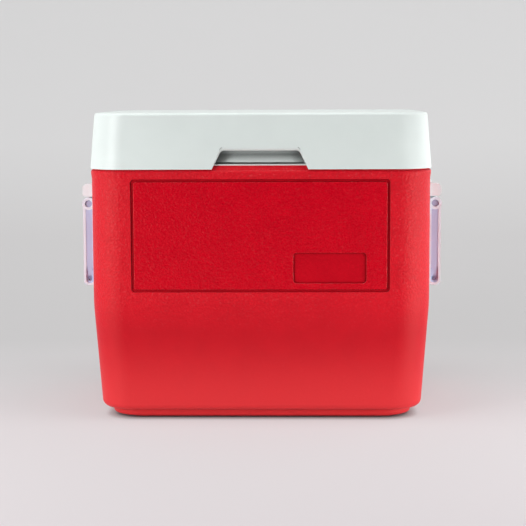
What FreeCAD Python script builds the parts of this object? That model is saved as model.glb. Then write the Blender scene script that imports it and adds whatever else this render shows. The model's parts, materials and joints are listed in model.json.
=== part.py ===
import FreeCAD, Part
import math
import os

# Insulated chest cooler: a moulded tub with a foam-filled wall and white liner, a foam-filled
# lid hinged at the rear, and a swinging carrying handle on each side.
#
# Frame: millimetres, +Z up.  The front faces -Y and the side handles are at -X (left) and +X
# (right).  The origin is the centre of the flat underside that the cooler stands on.

Vec = FreeCAD.Vector

# ---- Body shell ---------------------------------------------------------------------------
BODY_WIDTH = 398.2            # across the plain side walls
BODY_DEPTH = 299.0            # across the plain front and rear walls
BODY_CORNER_R = 40.0          # upright corners, seen from above
SHELL_WALL = 3.0
SHOULDER_HEIGHT = 295.7       # floor to the shoulder that the lid's skirt rests over
CREASE_HEIGHT = 135.4         # below this line the walls taper in
LOWER_TAPER_DEG = 4.0
BOTTOM_EDGE_R = 8.0
PLINTH_HEIGHT = 11.4
PLINTH_STEP = 11.8            # how far the plinth stands in from the tub's bottom edge
PLINTH_CORNER_R = 34.0
PLINTH_EDGE_R = 3.0           # round the underside
BEAD_HEIGHT = 8.5             # raised band under the shoulder
BEAD_PROUD = 0.8
BEAD_EDGE_R = 2.0
NECK_SETBACK = 5.0            # the neck inside the lid's skirt stands in from the walls
NECK_HEIGHT = 4.7

# ---- Front panel and badge field ------------------------------------------------------------
PANEL_WIDTH = 300.0
PANEL_HEIGHT = 131.2
PANEL_TOP_DROP = 11.2         # from the shoulder down to the panel's groove
PANEL_CORNER_R = 4.0
GROOVE_WIDTH = 2.3
GROOVE_DEPTH = 1.3
BADGE_WIDTH = 84.4
BADGE_HEIGHT = 35.5
BADGE_DEPTH = 1.5
BADGE_CORNER_R = 4.0
BADGE_SIDE_MARGIN = 27.2      # from the panel's right edge
BADGE_BOTTOM_MARGIN = 10.3     # from the panel's bottom edge

# ---- Liner and insulation --------------------------------------------------------------------
WALL_INSULATION = 22.0
FLOOR_INSULATION = 26.0
LINER_WALL = 2.5
LINER_DRAFT_DEG = 1.5
LINER_CORNER_R = 26.0
LINER_FLOOR_R = 16.0
FLANGE_THICK = 2.4
FLANGE_OVERHANG = 0.5         # the liner's flange past the neck
FLANGE_EDGE_R = 0.8
FOAM_FIT = 0.2                # moulding gap round each foam filling

# ---- Foam filling port in the underside ---------------------------------------------------------
PORT_HOLE_R = 12.5
PORT_FLANGE_R = 15.5
PORT_RECESS = 1.6
PORT_STEM = 6.0
PORT_SETBACK = 70.0           # behind the centre of the underside
PORT_FIT = 0.2

# ---- Lid ------------------------------------------------------------------------------------
LID_HEIGHT = 64.9             # skirt's bottom edge to the flat top
LID_OVERHANG = 1.4            # skirt's bottom edge past the plain walls
LID_DRAFT_DEG = 4.5
LID_CORNER_R = 41.0
LID_WALL = 3.0
LID_TOP_EDGE_R = 3.5
LID_REST_GAP = 0.3            # skirt over shoulder
RIM_GAP = 1.0                 # lid liner's rim over the body liner's flange
LID_LINER_WALL = 2.5
PLUG_DEPTH = 21.0             # how far the lid's plug reaches below its rim
PLUG_CLEARANCE = 3.0
PLUG_EDGE_R = 8.0

# ---- Finger notch in the front of the lid -----------------------------------------------------
NOTCH_TOP_WIDTH = 90.0
NOTCH_BOTTOM_WIDTH = 111.0
NOTCH_HEIGHT = 24.6
NOTCH_CORNER_R = 3.0
POCKET_DEPTH = 17.0           # behind the skirt's bottom edge
POCKET_WALL = 2.5

# ---- Side handles ---------------------------------------------------------------------------
PIVOT_DROP = 44.9             # shoulder down to the pivot axis
PIVOT_STANDOFF = 10.4         # pivot axis from the side wall
BAIL_WIDTH = 140.0            # across the outer faces of the two arms
ARM_THICK = 9.0
ARM_OUTBOARD = 6.7            # arm's outer edge from the pivot axis
ARM_INBOARD = 7.5             # arm's inner edge from the pivot axis
ARM_LENGTH = 99.2             # pivot axis to the handle's lower edge
ARM_RIM = 2.2
ARM_RECESS = 3.2
ARM_TOP_DROP = 3.6            # pivot axis to the arm's square shoulders
HANDLE_CORNER_R = 6.0
EYE_R = 7.6
EYE_RECESS_DEPTH = 3.0
EYE_RECESS_R = 4.3
GRIP_HEIGHT = 26.0
GRIP_WALL = 2.6
GRIP_BORE_DEPTH = 26.0
GRIP_EDGE_R = 5.0

# ---- Handle brackets and pivot pins -------------------------------------------------------------
BRACKET_END_MARGIN = 6.0      # plate past the arm's outer face
BRACKET_PLATE = 2.2
BRACKET_BELOW = 11.0          # plate below the pivot axis
BRACKET_ABOVE = 24.2          # bracket's top above the pivot axis
BRACKET_CORNER_R = 5.0
HOOD_THICK = 14.0
HOOD_REACH = 17.0             # hood's outer edge from the side wall
HOOD_EDGE_R = 5.0
HOOD_END_MARGIN = 3.0         # hood past the arm's outer face
LUG_THICK = 8.4
LUG_GAP = 0.6                 # lug to arm
RAIL_THICK = 5.0
RAIL_REACH = 8.0
PIN_R = 3.0
PIN_HEAD_R = 4.0
PIN_HEAD_THICK = 1.4
PIN_FIT = 0.06                # radial running clearance
PIN_TAIL = 1.0                # pin past the lug

# ---- Rear hinges ----------------------------------------------------------------------------
HINGE_SPACING = 220.0         # centre to centre
HINGE_WIDTH = 40.0
HINGE_PLATE = 2.5
HINGE_AXIS_SETBACK = 7.2      # hinge axis behind the plain rear wall
HINGE_AXIS_DROP = 2.8         # hinge axis below the shoulder
KNUCKLE_R = 4.5
KNUCKLE_GAP = 0.4
HINGE_PIN_R = 2.0
CENTRE_KNUCKLE = 15.0
BODY_LEAF_HEIGHT = 40.0       # below the bead
LID_LEAF_HEIGHT = 30.0
LEAF_CORNER_R = 4.0
LEDGE_THICK = 3.0
TOE_REACH = 8.5               # stop toe's tip from the hinge axis
LID_STOP_DEG = 102.0          # the toe meets the ledge at this opening

# ---- Screws and their bosses --------------------------------------------------------------------
SCREW_R = 1.8
SCREW_HEAD_R = 3.7
SCREW_HEAD_THICK = 2.2
SCREW_LENGTH = 14.0           # hole below the plate that the screw holds
SCREW_TIP_GAP = 1.0
SOCKET_R = 1.1
SOCKET_DEPTH = 1.2
SCREW_FIT = 0.05
BOSS_R = 4.5
BOSS_LENGTH = 14.5
BRACKET_SCREW_SPAN_Y = 60.0
BRACKET_SCREW_SPAN_Z = 12.0
HINGE_SCREW_SPAN = 22.0
BODY_LEAF_SCREW_DROP = 26.0   # below the bead
LID_LEAF_SCREW_RISE = 19.0    # above the skirt's bottom edge

# ---- Sizes that follow ------------------------------------------------------------------------
HALF_X = BODY_WIDTH / 2
HALF_Y = BODY_DEPTH / 2
BOTTOM_INSET = (CREASE_HEIGHT - PLINTH_HEIGHT) * math.tan(math.radians(LOWER_TAPER_DEG))
BEAD_BASE = SHOULDER_HEIGHT - BEAD_HEIGHT
NECK_TOP = SHOULDER_HEIGHT + NECK_HEIGHT
FLANGE_TOP = NECK_TOP + FLANGE_THICK
CAVITY_INSET = SHELL_WALL + WALL_INSULATION + LINER_WALL
CAVITY_FLOOR = SHELL_WALL + FLOOR_INSULATION + LINER_WALL
LINER_SLOPE = math.tan(math.radians(LINER_DRAFT_DEG))
LID_BOTTOM = SHOULDER_HEIGHT + LID_REST_GAP
LID_TOP = LID_BOTTOM + LID_HEIGHT
LID_SLOPE = math.tan(math.radians(LID_DRAFT_DEG))
RIM_BOTTOM = FLANGE_TOP + RIM_GAP
RIM_TOP = RIM_BOTTOM + LID_LINER_WALL
PLUG_BOTTOM = RIM_BOTTOM - PLUG_DEPTH
NOTCH_TOP = LID_BOTTOM + NOTCH_HEIGHT
POCKET_BACK_Y = -(HALF_Y + LID_OVERHANG) + POCKET_DEPTH
PIVOT_HEIGHT = SHOULDER_HEIGHT - PIVOT_DROP
PIVOT_X = HALF_X + PIVOT_STANDOFF
ARM_OUTER_Y = BAIL_WIDTH / 2
ARM_INNER_Y = ARM_OUTER_Y - ARM_THICK
LUG_OUTER_Y = ARM_INNER_Y - LUG_GAP
LUG_INNER_Y = LUG_OUTER_Y - LUG_THICK
HANDLE_BOTTOM = PIVOT_HEIGHT - ARM_LENGTH
HINGE_Y = HALF_Y + HINGE_AXIS_SETBACK
HINGE_Z = SHOULDER_HEIGHT - HINGE_AXIS_DROP
CUT = 5.0                     # how far a cutting tool runs past the face it opens


# ---- Shape helpers ----------------------------------------------------------------------------
def rounded_rectangle(half_x, half_y, radius, z):
    """A level rounded rectangle round the Z axis."""
    diagonal = radius * (1 - math.sqrt(0.5))
    edges = []
    for turn in range(4):
        across, along = (half_x, half_y) if turn % 2 == 0 else (half_y, half_x)
        start = Vec(-across + radius, -along, z)
        end = Vec(across - radius, -along, z)
        middle = Vec(across - diagonal, -along + diagonal, z)
        corner_end = Vec(across, -along + radius, z)
        side = [Part.makeLine(start, end), Part.Arc(end, middle, corner_end).toShape()]
        for edge in side:
            edge.rotate(Vec(0, 0, 0), Vec(0, 0, 1), 90 * turn)
            edges.append(edge)
    return Part.Wire(edges)


def loft(*sections):
    """A straight-walled solid through level rounded rectangles (half_x, half_y, radius, z)."""
    return Part.makeLoft([rounded_rectangle(*section) for section in sections], True, True)


def block(x_range, y_range, z_range):
    size = [high - low for low, high in (x_range, y_range, z_range)]
    return Part.makeBox(*size, Vec(x_range[0], y_range[0], z_range[0]))


def rod(start, direction, radius, length):
    return Part.makeCylinder(radius, length, start, direction)


def prism(points, extrusion):
    """A closed outline pushed along a vector."""
    return Part.Face(Part.makePolygon(points + points[:1])).extrude(extrusion)


def round_edges(solid, radius, chosen):
    edges = [edge for edge in solid.Edges if chosen(edge)]
    return solid.makeFillet(radius, edges)


def runs_along(edge, direction):
    if not isinstance(edge.Curve, Part.Line):
        return False
    return abs(abs(edge.tangentAt(edge.FirstParameter).dot(direction)) - 1) < 1e-6


def lies_at_height(edge, z):
    return all(abs(vertex.Z - z) < 1e-4 for vertex in edge.Vertexes)


def slab(x_range, z_range, y_range, radius):
    """An upright plate with rounded corners, seen from the front."""
    plate = block(x_range, y_range, z_range)
    return round_edges(plate, radius, lambda edge: runs_along(edge, Vec(0, 1, 0)))


def fuse(first, *others):
    return first.multiFuse(list(others)).removeSplitter()


def both_ends(solid):
    """A piece at the front arm and its mirror image at the rear arm."""
    return [solid, solid.mirror(Vec(0, 0, 0), Vec(0, 1, 0))]


# ---- Body ---------------------------------------------------------------------------------------
def body_form(inset, top):
    """The tub's outer form, with every wall and the floor drawn in by inset."""
    half_x, half_y, radius = HALF_X - inset, HALF_Y - inset, BODY_CORNER_R - inset
    low_x, low_y = half_x - BOTTOM_INSET, half_y - BOTTOM_INSET
    plinth_x, plinth_y = low_x - PLINTH_STEP, low_y - PLINTH_STEP
    underside = PLINTH_HEIGHT + inset
    shoulder = SHOULDER_HEIGHT - inset
    sections = [(low_x, low_y, radius, underside), (half_x, half_y, radius, CREASE_HEIGHT)]
    if inset == 0:
        proud = BEAD_PROUD
        sections.append((half_x, half_y, radius, BEAD_BASE))
        sections.append((half_x + proud, half_y + proud, radius + proud, BEAD_BASE + proud))
        sections.append((half_x + proud, half_y + proud, radius + proud, shoulder))
    else:
        sections.append((half_x, half_y, radius, shoulder))
    tub = loft(*sections)
    tub = round_edges(tub, BOTTOM_EDGE_R - inset, lambda edge: lies_at_height(edge, underside))
    if inset == 0:
        tub = round_edges(tub, BEAD_EDGE_R, lambda edge: lies_at_height(edge, shoulder))
    plinth_r = PLINTH_CORNER_R - inset
    plinth = loft((plinth_x, plinth_y, plinth_r, inset), (plinth_x, plinth_y, plinth_r, underside + CUT))
    if inset == 0:
        plinth = round_edges(plinth, PLINTH_EDGE_R, lambda edge: lies_at_height(edge, 0))
    neck_x, neck_y, neck_r = half_x - NECK_SETBACK, half_y - NECK_SETBACK, radius - NECK_SETBACK
    neck = loft((neck_x, neck_y, neck_r, shoulder - CUT), (neck_x, neck_y, neck_r, top))
    return fuse(tub, plinth, neck)


def liner_form(growth, top):
    """The storage cavity's form, grown outwards by growth on the walls and the floor."""
    floor = CAVITY_FLOOR - growth
    radius = LINER_CORNER_R + growth

    def section(z):
        inset = CAVITY_INSET - growth + (FLANGE_TOP - z) * LINER_SLOPE
        return (HALF_X - inset, HALF_Y - inset, radius, z)

    form = loft(section(floor), section(top))
    return round_edges(form, LINER_FLOOR_R + growth, lambda edge: lies_at_height(edge, floor))


def panel_groove():
    top = SHOULDER_HEIGHT - PANEL_TOP_DROP
    bottom = top - PANEL_HEIGHT
    half = PANEL_WIDTH / 2
    depth_range = (-HALF_Y - CUT, -HALF_Y + GROOVE_DEPTH)
    outside = slab((-half, half), (bottom, top), depth_range, PANEL_CORNER_R)
    inner = half - GROOVE_WIDTH
    inner_r = PANEL_CORNER_R - GROOVE_WIDTH
    inside = slab((-inner, inner), (bottom + GROOVE_WIDTH, top - GROOVE_WIDTH), depth_range, inner_r)
    return outside.cut(inside)


def badge_recess():
    right = PANEL_WIDTH / 2 - BADGE_SIDE_MARGIN
    bottom = SHOULDER_HEIGHT - PANEL_TOP_DROP - PANEL_HEIGHT + BADGE_BOTTOM_MARGIN
    depth_range = (-HALF_Y - CUT, -HALF_Y + BADGE_DEPTH)
    return slab((right - BADGE_WIDTH, right), (bottom, bottom + BADGE_HEIGHT), depth_range, BADGE_CORNER_R)


def bracket_screw_points():
    """Where the right bracket's screws enter the side wall."""
    centre_z = PIVOT_HEIGHT + (BRACKET_ABOVE - RAIL_THICK - BRACKET_BELOW) / 2
    return [
        Vec(HALF_X, side * BRACKET_SCREW_SPAN_Y / 2, centre_z + level * BRACKET_SCREW_SPAN_Z / 2)
        for side in (-1, 1)
        for level in (-1, 1)
    ]


def body_leaf_screw_points(centre_x):
    z = BEAD_BASE - BODY_LEAF_SCREW_DROP
    return [Vec(centre_x + side * HINGE_SCREW_SPAN / 2, HALF_Y, z) for side in (-1, 1)]


def body_screw_sites():
    """Every screw that enters the tub: where it meets the wall, and the way in."""
    sites = []
    for point in bracket_screw_points():
        sites.append((point, Vec(-1, 0, 0)))
        sites.append((Vec(-point.x, point.y, point.z), Vec(1, 0, 0)))
    for centre_x in (-HINGE_SPACING / 2, HINGE_SPACING / 2):
        for point in body_leaf_screw_points(centre_x):
            sites.append((point, Vec(0, -1, 0)))
    return sites


def boss(point, inward, growth=0.0):
    """A screw boss that stands inside a wall, from half-way through it."""
    start = point + inward * (SHELL_WALL / 2)
    return rod(start, inward, BOSS_R + growth, BOSS_LENGTH - SHELL_WALL / 2 + growth)


def screw_hole(point, inward):
    start = point - inward * CUT
    return rod(start, inward, SCREW_R + SCREW_FIT, CUT + SCREW_LENGTH)


def make_body_shell():
    shell = body_form(0, NECK_TOP).cut(body_form(SHELL_WALL, NECK_TOP + CUT))
    shell = fuse(shell, *[boss(point, inward) for point, inward in body_screw_sites()])
    holes = [screw_hole(point, inward) for point, inward in body_screw_sites()]
    port_at = Vec(0, PORT_SETBACK, -CUT)
    port = rod(port_at, Vec(0, 0, 1), PORT_HOLE_R, SHELL_WALL + 2 * CUT)
    port_recess = rod(port_at, Vec(0, 0, 1), PORT_FLANGE_R, CUT + PORT_RECESS)
    return shell.cut([panel_groove(), badge_recess(), port, port_recess] + holes)


def make_foam_port_plug():
    flange_at = Vec(0, PORT_SETBACK, PORT_FIT)
    flange = rod(flange_at, Vec(0, 0, 1), PORT_FLANGE_R - PORT_FIT, PORT_RECESS - PORT_FIT)
    stem = rod(flange_at, Vec(0, 0, 1), PORT_HOLE_R - PORT_FIT, PORT_STEM)
    return fuse(flange, stem)


def make_body_liner():
    flange_x = HALF_X - NECK_SETBACK + FLANGE_OVERHANG
    flange_y = HALF_Y - NECK_SETBACK + FLANGE_OVERHANG
    flange_r = BODY_CORNER_R - NECK_SETBACK + FLANGE_OVERHANG
    flange = loft((flange_x, flange_y, flange_r, NECK_TOP), (flange_x, flange_y, flange_r, FLANGE_TOP))
    flange = round_edges(flange, FLANGE_EDGE_R, lambda edge: lies_at_height(edge, FLANGE_TOP))
    return fuse(liner_form(LINER_WALL, FLANGE_TOP), flange).cut(liner_form(0, FLANGE_TOP))


def make_body_foam():
    foam = body_form(SHELL_WALL + FOAM_FIT, NECK_TOP - FOAM_FIT)
    hollow = liner_form(LINER_WALL + FOAM_FIT, NECK_TOP)
    bosses = [boss(point, inward, FOAM_FIT) for point, inward in body_screw_sites()]
    stem_room = rod(Vec(0, PORT_SETBACK, 0), Vec(0, 0, 1), PORT_HOLE_R + PORT_FIT, PORT_STEM + 2 * PORT_FIT)
    return foam.cut([hollow, stem_room] + bosses)


# ---- Lid ----------------------------------------------------------------------------------------
def lid_section(inset, z):
    """The lid's outline at a height, drawn in by inset."""
    narrowing = (z - LID_BOTTOM) * LID_SLOPE + inset
    half_x, half_y = HALF_X + LID_OVERHANG - narrowing, HALF_Y + LID_OVERHANG - narrowing
    return (half_x, half_y, LID_CORNER_R - narrowing, z)


def lid_form(inset, bottom, top):
    return loft(lid_section(inset, bottom), lid_section(inset, top))


def notch_outline(growth, bottom, y_range):
    """The finger notch's trapezium with rounded top corners, run from front to back."""
    spread = (NOTCH_BOTTOM_WIDTH - NOTCH_TOP_WIDTH) / 2 / NOTCH_HEIGHT
    top = NOTCH_TOP + growth
    side = growth * math.hypot(1, spread)

    def half_width(z):
        return NOTCH_TOP_WIDTH / 2 + side + (NOTCH_TOP - z) * spread

    corners = [(-half_width(bottom), bottom), (half_width(bottom), bottom)]
    corners += [(half_width(top), top), (-half_width(top), top)]
    points = [Vec(x, y_range[0], z) for x, z in corners]
    trapezium = prism(points, Vec(0, y_range[1] - y_range[0], 0))

    def is_top_corner(edge):
        return runs_along(edge, Vec(0, 1, 0)) and edge.Vertexes[0].Z > top - 1e-4

    return round_edges(trapezium, NOTCH_CORNER_R + growth, is_top_corner)


def pocket_walls(growth):
    """The trough that closes the finger pocket off from the lid's filling."""
    front = -(HALF_Y + LID_OVERHANG) - CUT
    return notch_outline(POCKET_WALL + growth, RIM_BOTTOM, (front, POCKET_BACK_Y + POCKET_WALL + growth))


def on_lid_rear(shape):
    """Leans a shape built against an upright rear wall onto the lid's drafted rear wall."""
    leaned = shape.copy()
    foot = Vec(0, HALF_Y + LID_OVERHANG, LID_BOTTOM)
    leaned.rotate(foot, Vec(1, 0, 0), LID_DRAFT_DEG)
    return leaned


def lid_leaf_screw_points(centre_x):
    z = LID_BOTTOM + LID_LEAF_SCREW_RISE
    y = HALF_Y + LID_OVERHANG
    return [Vec(centre_x + side * HINGE_SCREW_SPAN / 2, y, z) for side in (-1, 1)]


def lid_screw_points():
    return lid_leaf_screw_points(-HINGE_SPACING / 2) + lid_leaf_screw_points(HINGE_SPACING / 2)


def make_lid_shell():
    inward = Vec(0, -1, 0)
    outside = lid_form(0, LID_BOTTOM, LID_TOP)
    rounded = round_edges(outside, LID_TOP_EDGE_R, lambda edge: lies_at_height(edge, LID_TOP))
    hollow = lid_form(LID_WALL, LID_BOTTOM - CUT, LID_TOP - LID_WALL)
    trough = pocket_walls(0).common(outside)
    bosses = [on_lid_rear(boss(point, inward)) for point in lid_screw_points()]
    shell = fuse(rounded.cut(hollow), trough, *bosses)
    front = -(HALF_Y + LID_OVERHANG) - CUT
    pocket = notch_outline(0, LID_BOTTOM - CUT, (front, POCKET_BACK_Y))
    holes = [on_lid_rear(screw_hole(point, inward)) for point in lid_screw_points()]
    return shell.cut([pocket] + holes)


def plug_form(inset, bottom, top):
    """The plug under the lid, drawn in by inset."""
    radius = LINER_CORNER_R - PLUG_CLEARANCE - inset

    def section(z):
        narrowing = CAVITY_INSET + PLUG_CLEARANCE + inset + (RIM_TOP - z) * LID_SLOPE
        return (HALF_X - narrowing, HALF_Y - narrowing, radius, z)

    form = loft(section(bottom), section(top))
    return round_edges(form, PLUG_EDGE_R - inset, lambda edge: lies_at_height(edge, bottom))


def make_lid_liner():
    rim = lid_form(LID_WALL + FOAM_FIT, RIM_BOTTOM, RIM_TOP)
    plug = plug_form(0, PLUG_BOTTOM, RIM_TOP)
    filling = plug_form(LID_LINER_WALL, PLUG_BOTTOM + LID_LINER_WALL, RIM_TOP + CUT)
    return fuse(rim, plug).cut([filling, pocket_walls(FOAM_FIT)])


def make_lid_foam():
    upper = lid_form(LID_WALL + FOAM_FIT, RIM_TOP, LID_TOP - LID_WALL - FOAM_FIT)
    inset = LID_LINER_WALL + FOAM_FIT
    lower = plug_form(inset, PLUG_BOTTOM + inset, RIM_TOP + FOAM_FIT)
    inward = Vec(0, -1, 0)
    bosses = [on_lid_rear(boss(point, inward, FOAM_FIT)) for point in lid_screw_points()]
    return fuse(upper, lower).cut([pocket_walls(FOAM_FIT)] + bosses)


# ---- Side handles -------------------------------------------------------------------------------
def side_profile(x_range, z_range, y_range, outer_r, inner_r):
    """A block with rounded lower corners, outboard and inboard, seen from the front."""
    plate = block(x_range, y_range, z_range)

    def lower_corner_at(x):
        def chosen(edge):
            foot = edge.Vertexes[0]
            return runs_along(edge, Vec(0, 1, 0)) and abs(foot.X - x) + abs(foot.Z - z_range[0]) < 1e-4

        return chosen

    plate = round_edges(plate, outer_r, lower_corner_at(x_range[1]))
    return round_edges(plate, inner_r, lower_corner_at(x_range[0]))


def make_right_handle():
    x_range = (PIVOT_X - ARM_INBOARD, PIVOT_X + ARM_OUTBOARD)
    arm_y = (-ARM_OUTER_Y, -ARM_INNER_Y)
    arm = side_profile(x_range, (HANDLE_BOTTOM, PIVOT_HEIGHT), arm_y, HANDLE_CORNER_R, GRIP_EDGE_R)
    # The arm's top is trimmed to the eye, so that it clears the bracket as the handle swings.
    arm_top = block(x_range, arm_y, (PIVOT_HEIGHT - ARM_TOP_DROP, PIVOT_HEIGHT))
    eye = rod(Vec(PIVOT_X, -ARM_OUTER_Y, PIVOT_HEIGHT), Vec(0, 1, 0), EYE_R, ARM_THICK)
    arm = fuse(arm.cut(arm_top), eye)

    rim_x = (x_range[0] + ARM_RIM, x_range[1] - ARM_RIM)
    recess_z = (HANDLE_BOTTOM + ARM_RIM, PIVOT_HEIGHT - EYE_R)
    recess_y = (-ARM_OUTER_Y - CUT, -ARM_OUTER_Y + ARM_RECESS)
    inner_r = HANDLE_CORNER_R - ARM_RIM
    recess = side_profile(rim_x, recess_z, recess_y, inner_r, GRIP_EDGE_R - ARM_RIM)
    eye_recess = rod(Vec(PIVOT_X, -ARM_OUTER_Y - CUT, PIVOT_HEIGHT), Vec(0, 1, 0), EYE_RECESS_R,
                     CUT + EYE_RECESS_DEPTH)
    pin_hole = rod(Vec(PIVOT_X, -ARM_OUTER_Y - CUT, PIVOT_HEIGHT), Vec(0, 1, 0), PIN_R + PIN_FIT,
                   ARM_THICK + 2 * CUT)

    grip = block(x_range, (-ARM_OUTER_Y + ARM_RECESS, ARM_OUTER_Y - ARM_RECESS),
                 (HANDLE_BOTTOM, HANDLE_BOTTOM + GRIP_HEIGHT))
    grip = round_edges(grip, GRIP_EDGE_R, lambda edge: runs_along(edge, Vec(0, 1, 0)))
    bore_x = (x_range[0] + GRIP_WALL, x_range[1] - GRIP_WALL)
    bore_z = (HANDLE_BOTTOM + GRIP_WALL, HANDLE_BOTTOM + GRIP_HEIGHT - GRIP_WALL)
    bore = block(bore_x, (-ARM_OUTER_Y, -ARM_OUTER_Y + GRIP_BORE_DEPTH), bore_z)
    bore = round_edges(bore, GRIP_EDGE_R - GRIP_WALL, lambda edge: runs_along(edge, Vec(0, 1, 0)))
    cuts = both_ends(recess) + both_ends(eye_recess) + both_ends(pin_hole) + both_ends(bore)
    return fuse(grip, *both_ends(arm)).cut(cuts)


def make_right_bracket():
    wall = HALF_X
    bottom, top = PIVOT_HEIGHT - BRACKET_BELOW, PIVOT_HEIGHT + BRACKET_ABOVE
    half = ARM_OUTER_Y + BRACKET_END_MARGIN
    plate = block((wall, wall + BRACKET_PLATE), (-half, half), (bottom, top))
    plate = round_edges(plate, BRACKET_CORNER_R, lambda edge: runs_along(edge, Vec(1, 0, 0)))
    hood_y = (-ARM_OUTER_Y - HOOD_END_MARGIN, -LUG_INNER_Y)
    hood = block((wall, wall + HOOD_REACH), hood_y, (top - HOOD_THICK, top))

    def outer_top(edge):
        corner = edge.Vertexes[0]
        return runs_along(edge, Vec(0, 1, 0)) and corner.X > wall + BRACKET_PLATE and corner.Z > top - 1e-4

    hood = round_edges(hood, HOOD_EDGE_R, outer_top)
    lug_y = (-LUG_OUTER_Y, -LUG_INNER_Y)
    lug = block((wall, PIVOT_X), lug_y, (PIVOT_HEIGHT - EYE_R, top - HOOD_THICK))
    lug_tip = block((PIVOT_X, PIVOT_X + EYE_R), lug_y, (PIVOT_HEIGHT, top - HOOD_THICK))
    lug_nose = rod(Vec(PIVOT_X, -LUG_OUTER_Y, PIVOT_HEIGHT), Vec(0, 1, 0), EYE_R, LUG_THICK)
    rail = block((wall, wall + RAIL_REACH), (-LUG_INNER_Y, LUG_INNER_Y), (top - RAIL_THICK, top))
    ends = both_ends(hood) + both_ends(lug) + both_ends(lug_tip) + both_ends(lug_nose)
    bracket = fuse(plate, rail, *ends)
    pin_holes = rod(Vec(PIVOT_X, -half, PIVOT_HEIGHT), Vec(0, 1, 0), PIN_R + PIN_FIT, 2 * half)
    screw_holes = [screw_hole(point, Vec(-1, 0, 0)) for point in bracket_screw_points()]
    return bracket.cut([pin_holes] + screw_holes)


def make_right_front_pin():
    head_y = -ARM_OUTER_Y + EYE_RECESS_DEPTH - PIN_HEAD_THICK - PIN_FIT
    head = rod(Vec(PIVOT_X, head_y, PIVOT_HEIGHT), Vec(0, 1, 0), PIN_HEAD_R, PIN_HEAD_THICK)
    length = -LUG_INNER_Y + PIN_TAIL - head_y
    shank = rod(Vec(PIVOT_X, head_y, PIVOT_HEIGHT), Vec(0, 1, 0), PIN_R, length)
    return fuse(head, shank)


def screw(point, inward, seat):
    """A pan-head screw whose head sits on a plate of thickness seat."""
    under_head = point - inward * seat
    head = rod(under_head - inward * SCREW_HEAD_THICK, inward, SCREW_HEAD_R, SCREW_HEAD_THICK)
    shank = rod(under_head, inward, SCREW_R, seat + SCREW_LENGTH - SCREW_TIP_GAP)
    socket = rod(under_head - inward * SCREW_HEAD_THICK, inward, SOCKET_R, SOCKET_DEPTH)
    return fuse(head, shank).cut(socket)


# ---- Rear hinges --------------------------------------------------------------------------------
def hinge_point(y, z):
    """A point in the hinge's section, measured from the hinge axis."""
    return Vec(0, HINGE_Y + y, HINGE_Z + z)


def hinge_prism(section, x_range):
    points = [hinge_point(y, z) + Vec(x_range[0], 0, 0) for y, z in section]
    return prism(points, Vec(x_range[1] - x_range[0], 0, 0))


def knuckle(x_range):
    return rod(hinge_point(0, 0) + Vec(x_range[0], 0, 0), Vec(1, 0, 0), KNUCKLE_R, x_range[1] - x_range[0])


def hinge_bore(x_range):
    start = hinge_point(0, 0) + Vec(x_range[0] - CUT, 0, 0)
    return rod(start, Vec(1, 0, 0), HINGE_PIN_R + PIN_FIT, x_range[1] - x_range[0] + 2 * CUT)


def leaf_plate(x_range, y_range, z_range):
    plate = block(x_range, y_range, z_range)
    return round_edges(plate, LEAF_CORNER_R, lambda edge: runs_along(edge, Vec(0, 1, 0)))


def make_body_leaf(centre_x):
    """The fixed leaf: plate, centre knuckle and the ledge that stops the open lid."""
    whole = (centre_x - HINGE_WIDTH / 2, centre_x + HINGE_WIDTH / 2)
    middle = (centre_x - CENTRE_KNUCKLE / 2, centre_x + CENTRE_KNUCKLE / 2)
    ledge_top = -KNUCKLE_R - KNUCKLE_GAP
    ledge_bottom = ledge_top - LEDGE_THICK
    wall = -HINGE_AXIS_SETBACK
    plate_back = wall + BEAD_PROUD + HINGE_PLATE
    plate = leaf_plate(whole, (HALF_Y, HALF_Y + BEAD_PROUD + HINGE_PLATE),
                       (BEAD_BASE - BODY_LEAF_HEIGHT, HINGE_Z + ledge_top))
    ledge = hinge_prism([(wall, ledge_top), (KNUCKLE_R, ledge_top), (KNUCKLE_R, ledge_bottom),
                         (plate_back, ledge_bottom - LEDGE_THICK), (wall, ledge_bottom - LEDGE_THICK)], whole)
    web_section = [(-KNUCKLE_R, ledge_bottom), (-KNUCKLE_R, 0), (KNUCKLE_R, 0), (KNUCKLE_R, ledge_bottom)]
    web = hinge_prism(web_section, middle)
    leaf = fuse(plate, ledge, web, knuckle(middle))
    holes = [screw_hole(point, Vec(0, -1, 0)) for point in body_leaf_screw_points(centre_x)]
    return leaf.cut([body_form(0, NECK_TOP), hinge_bore(middle)] + holes)


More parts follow.
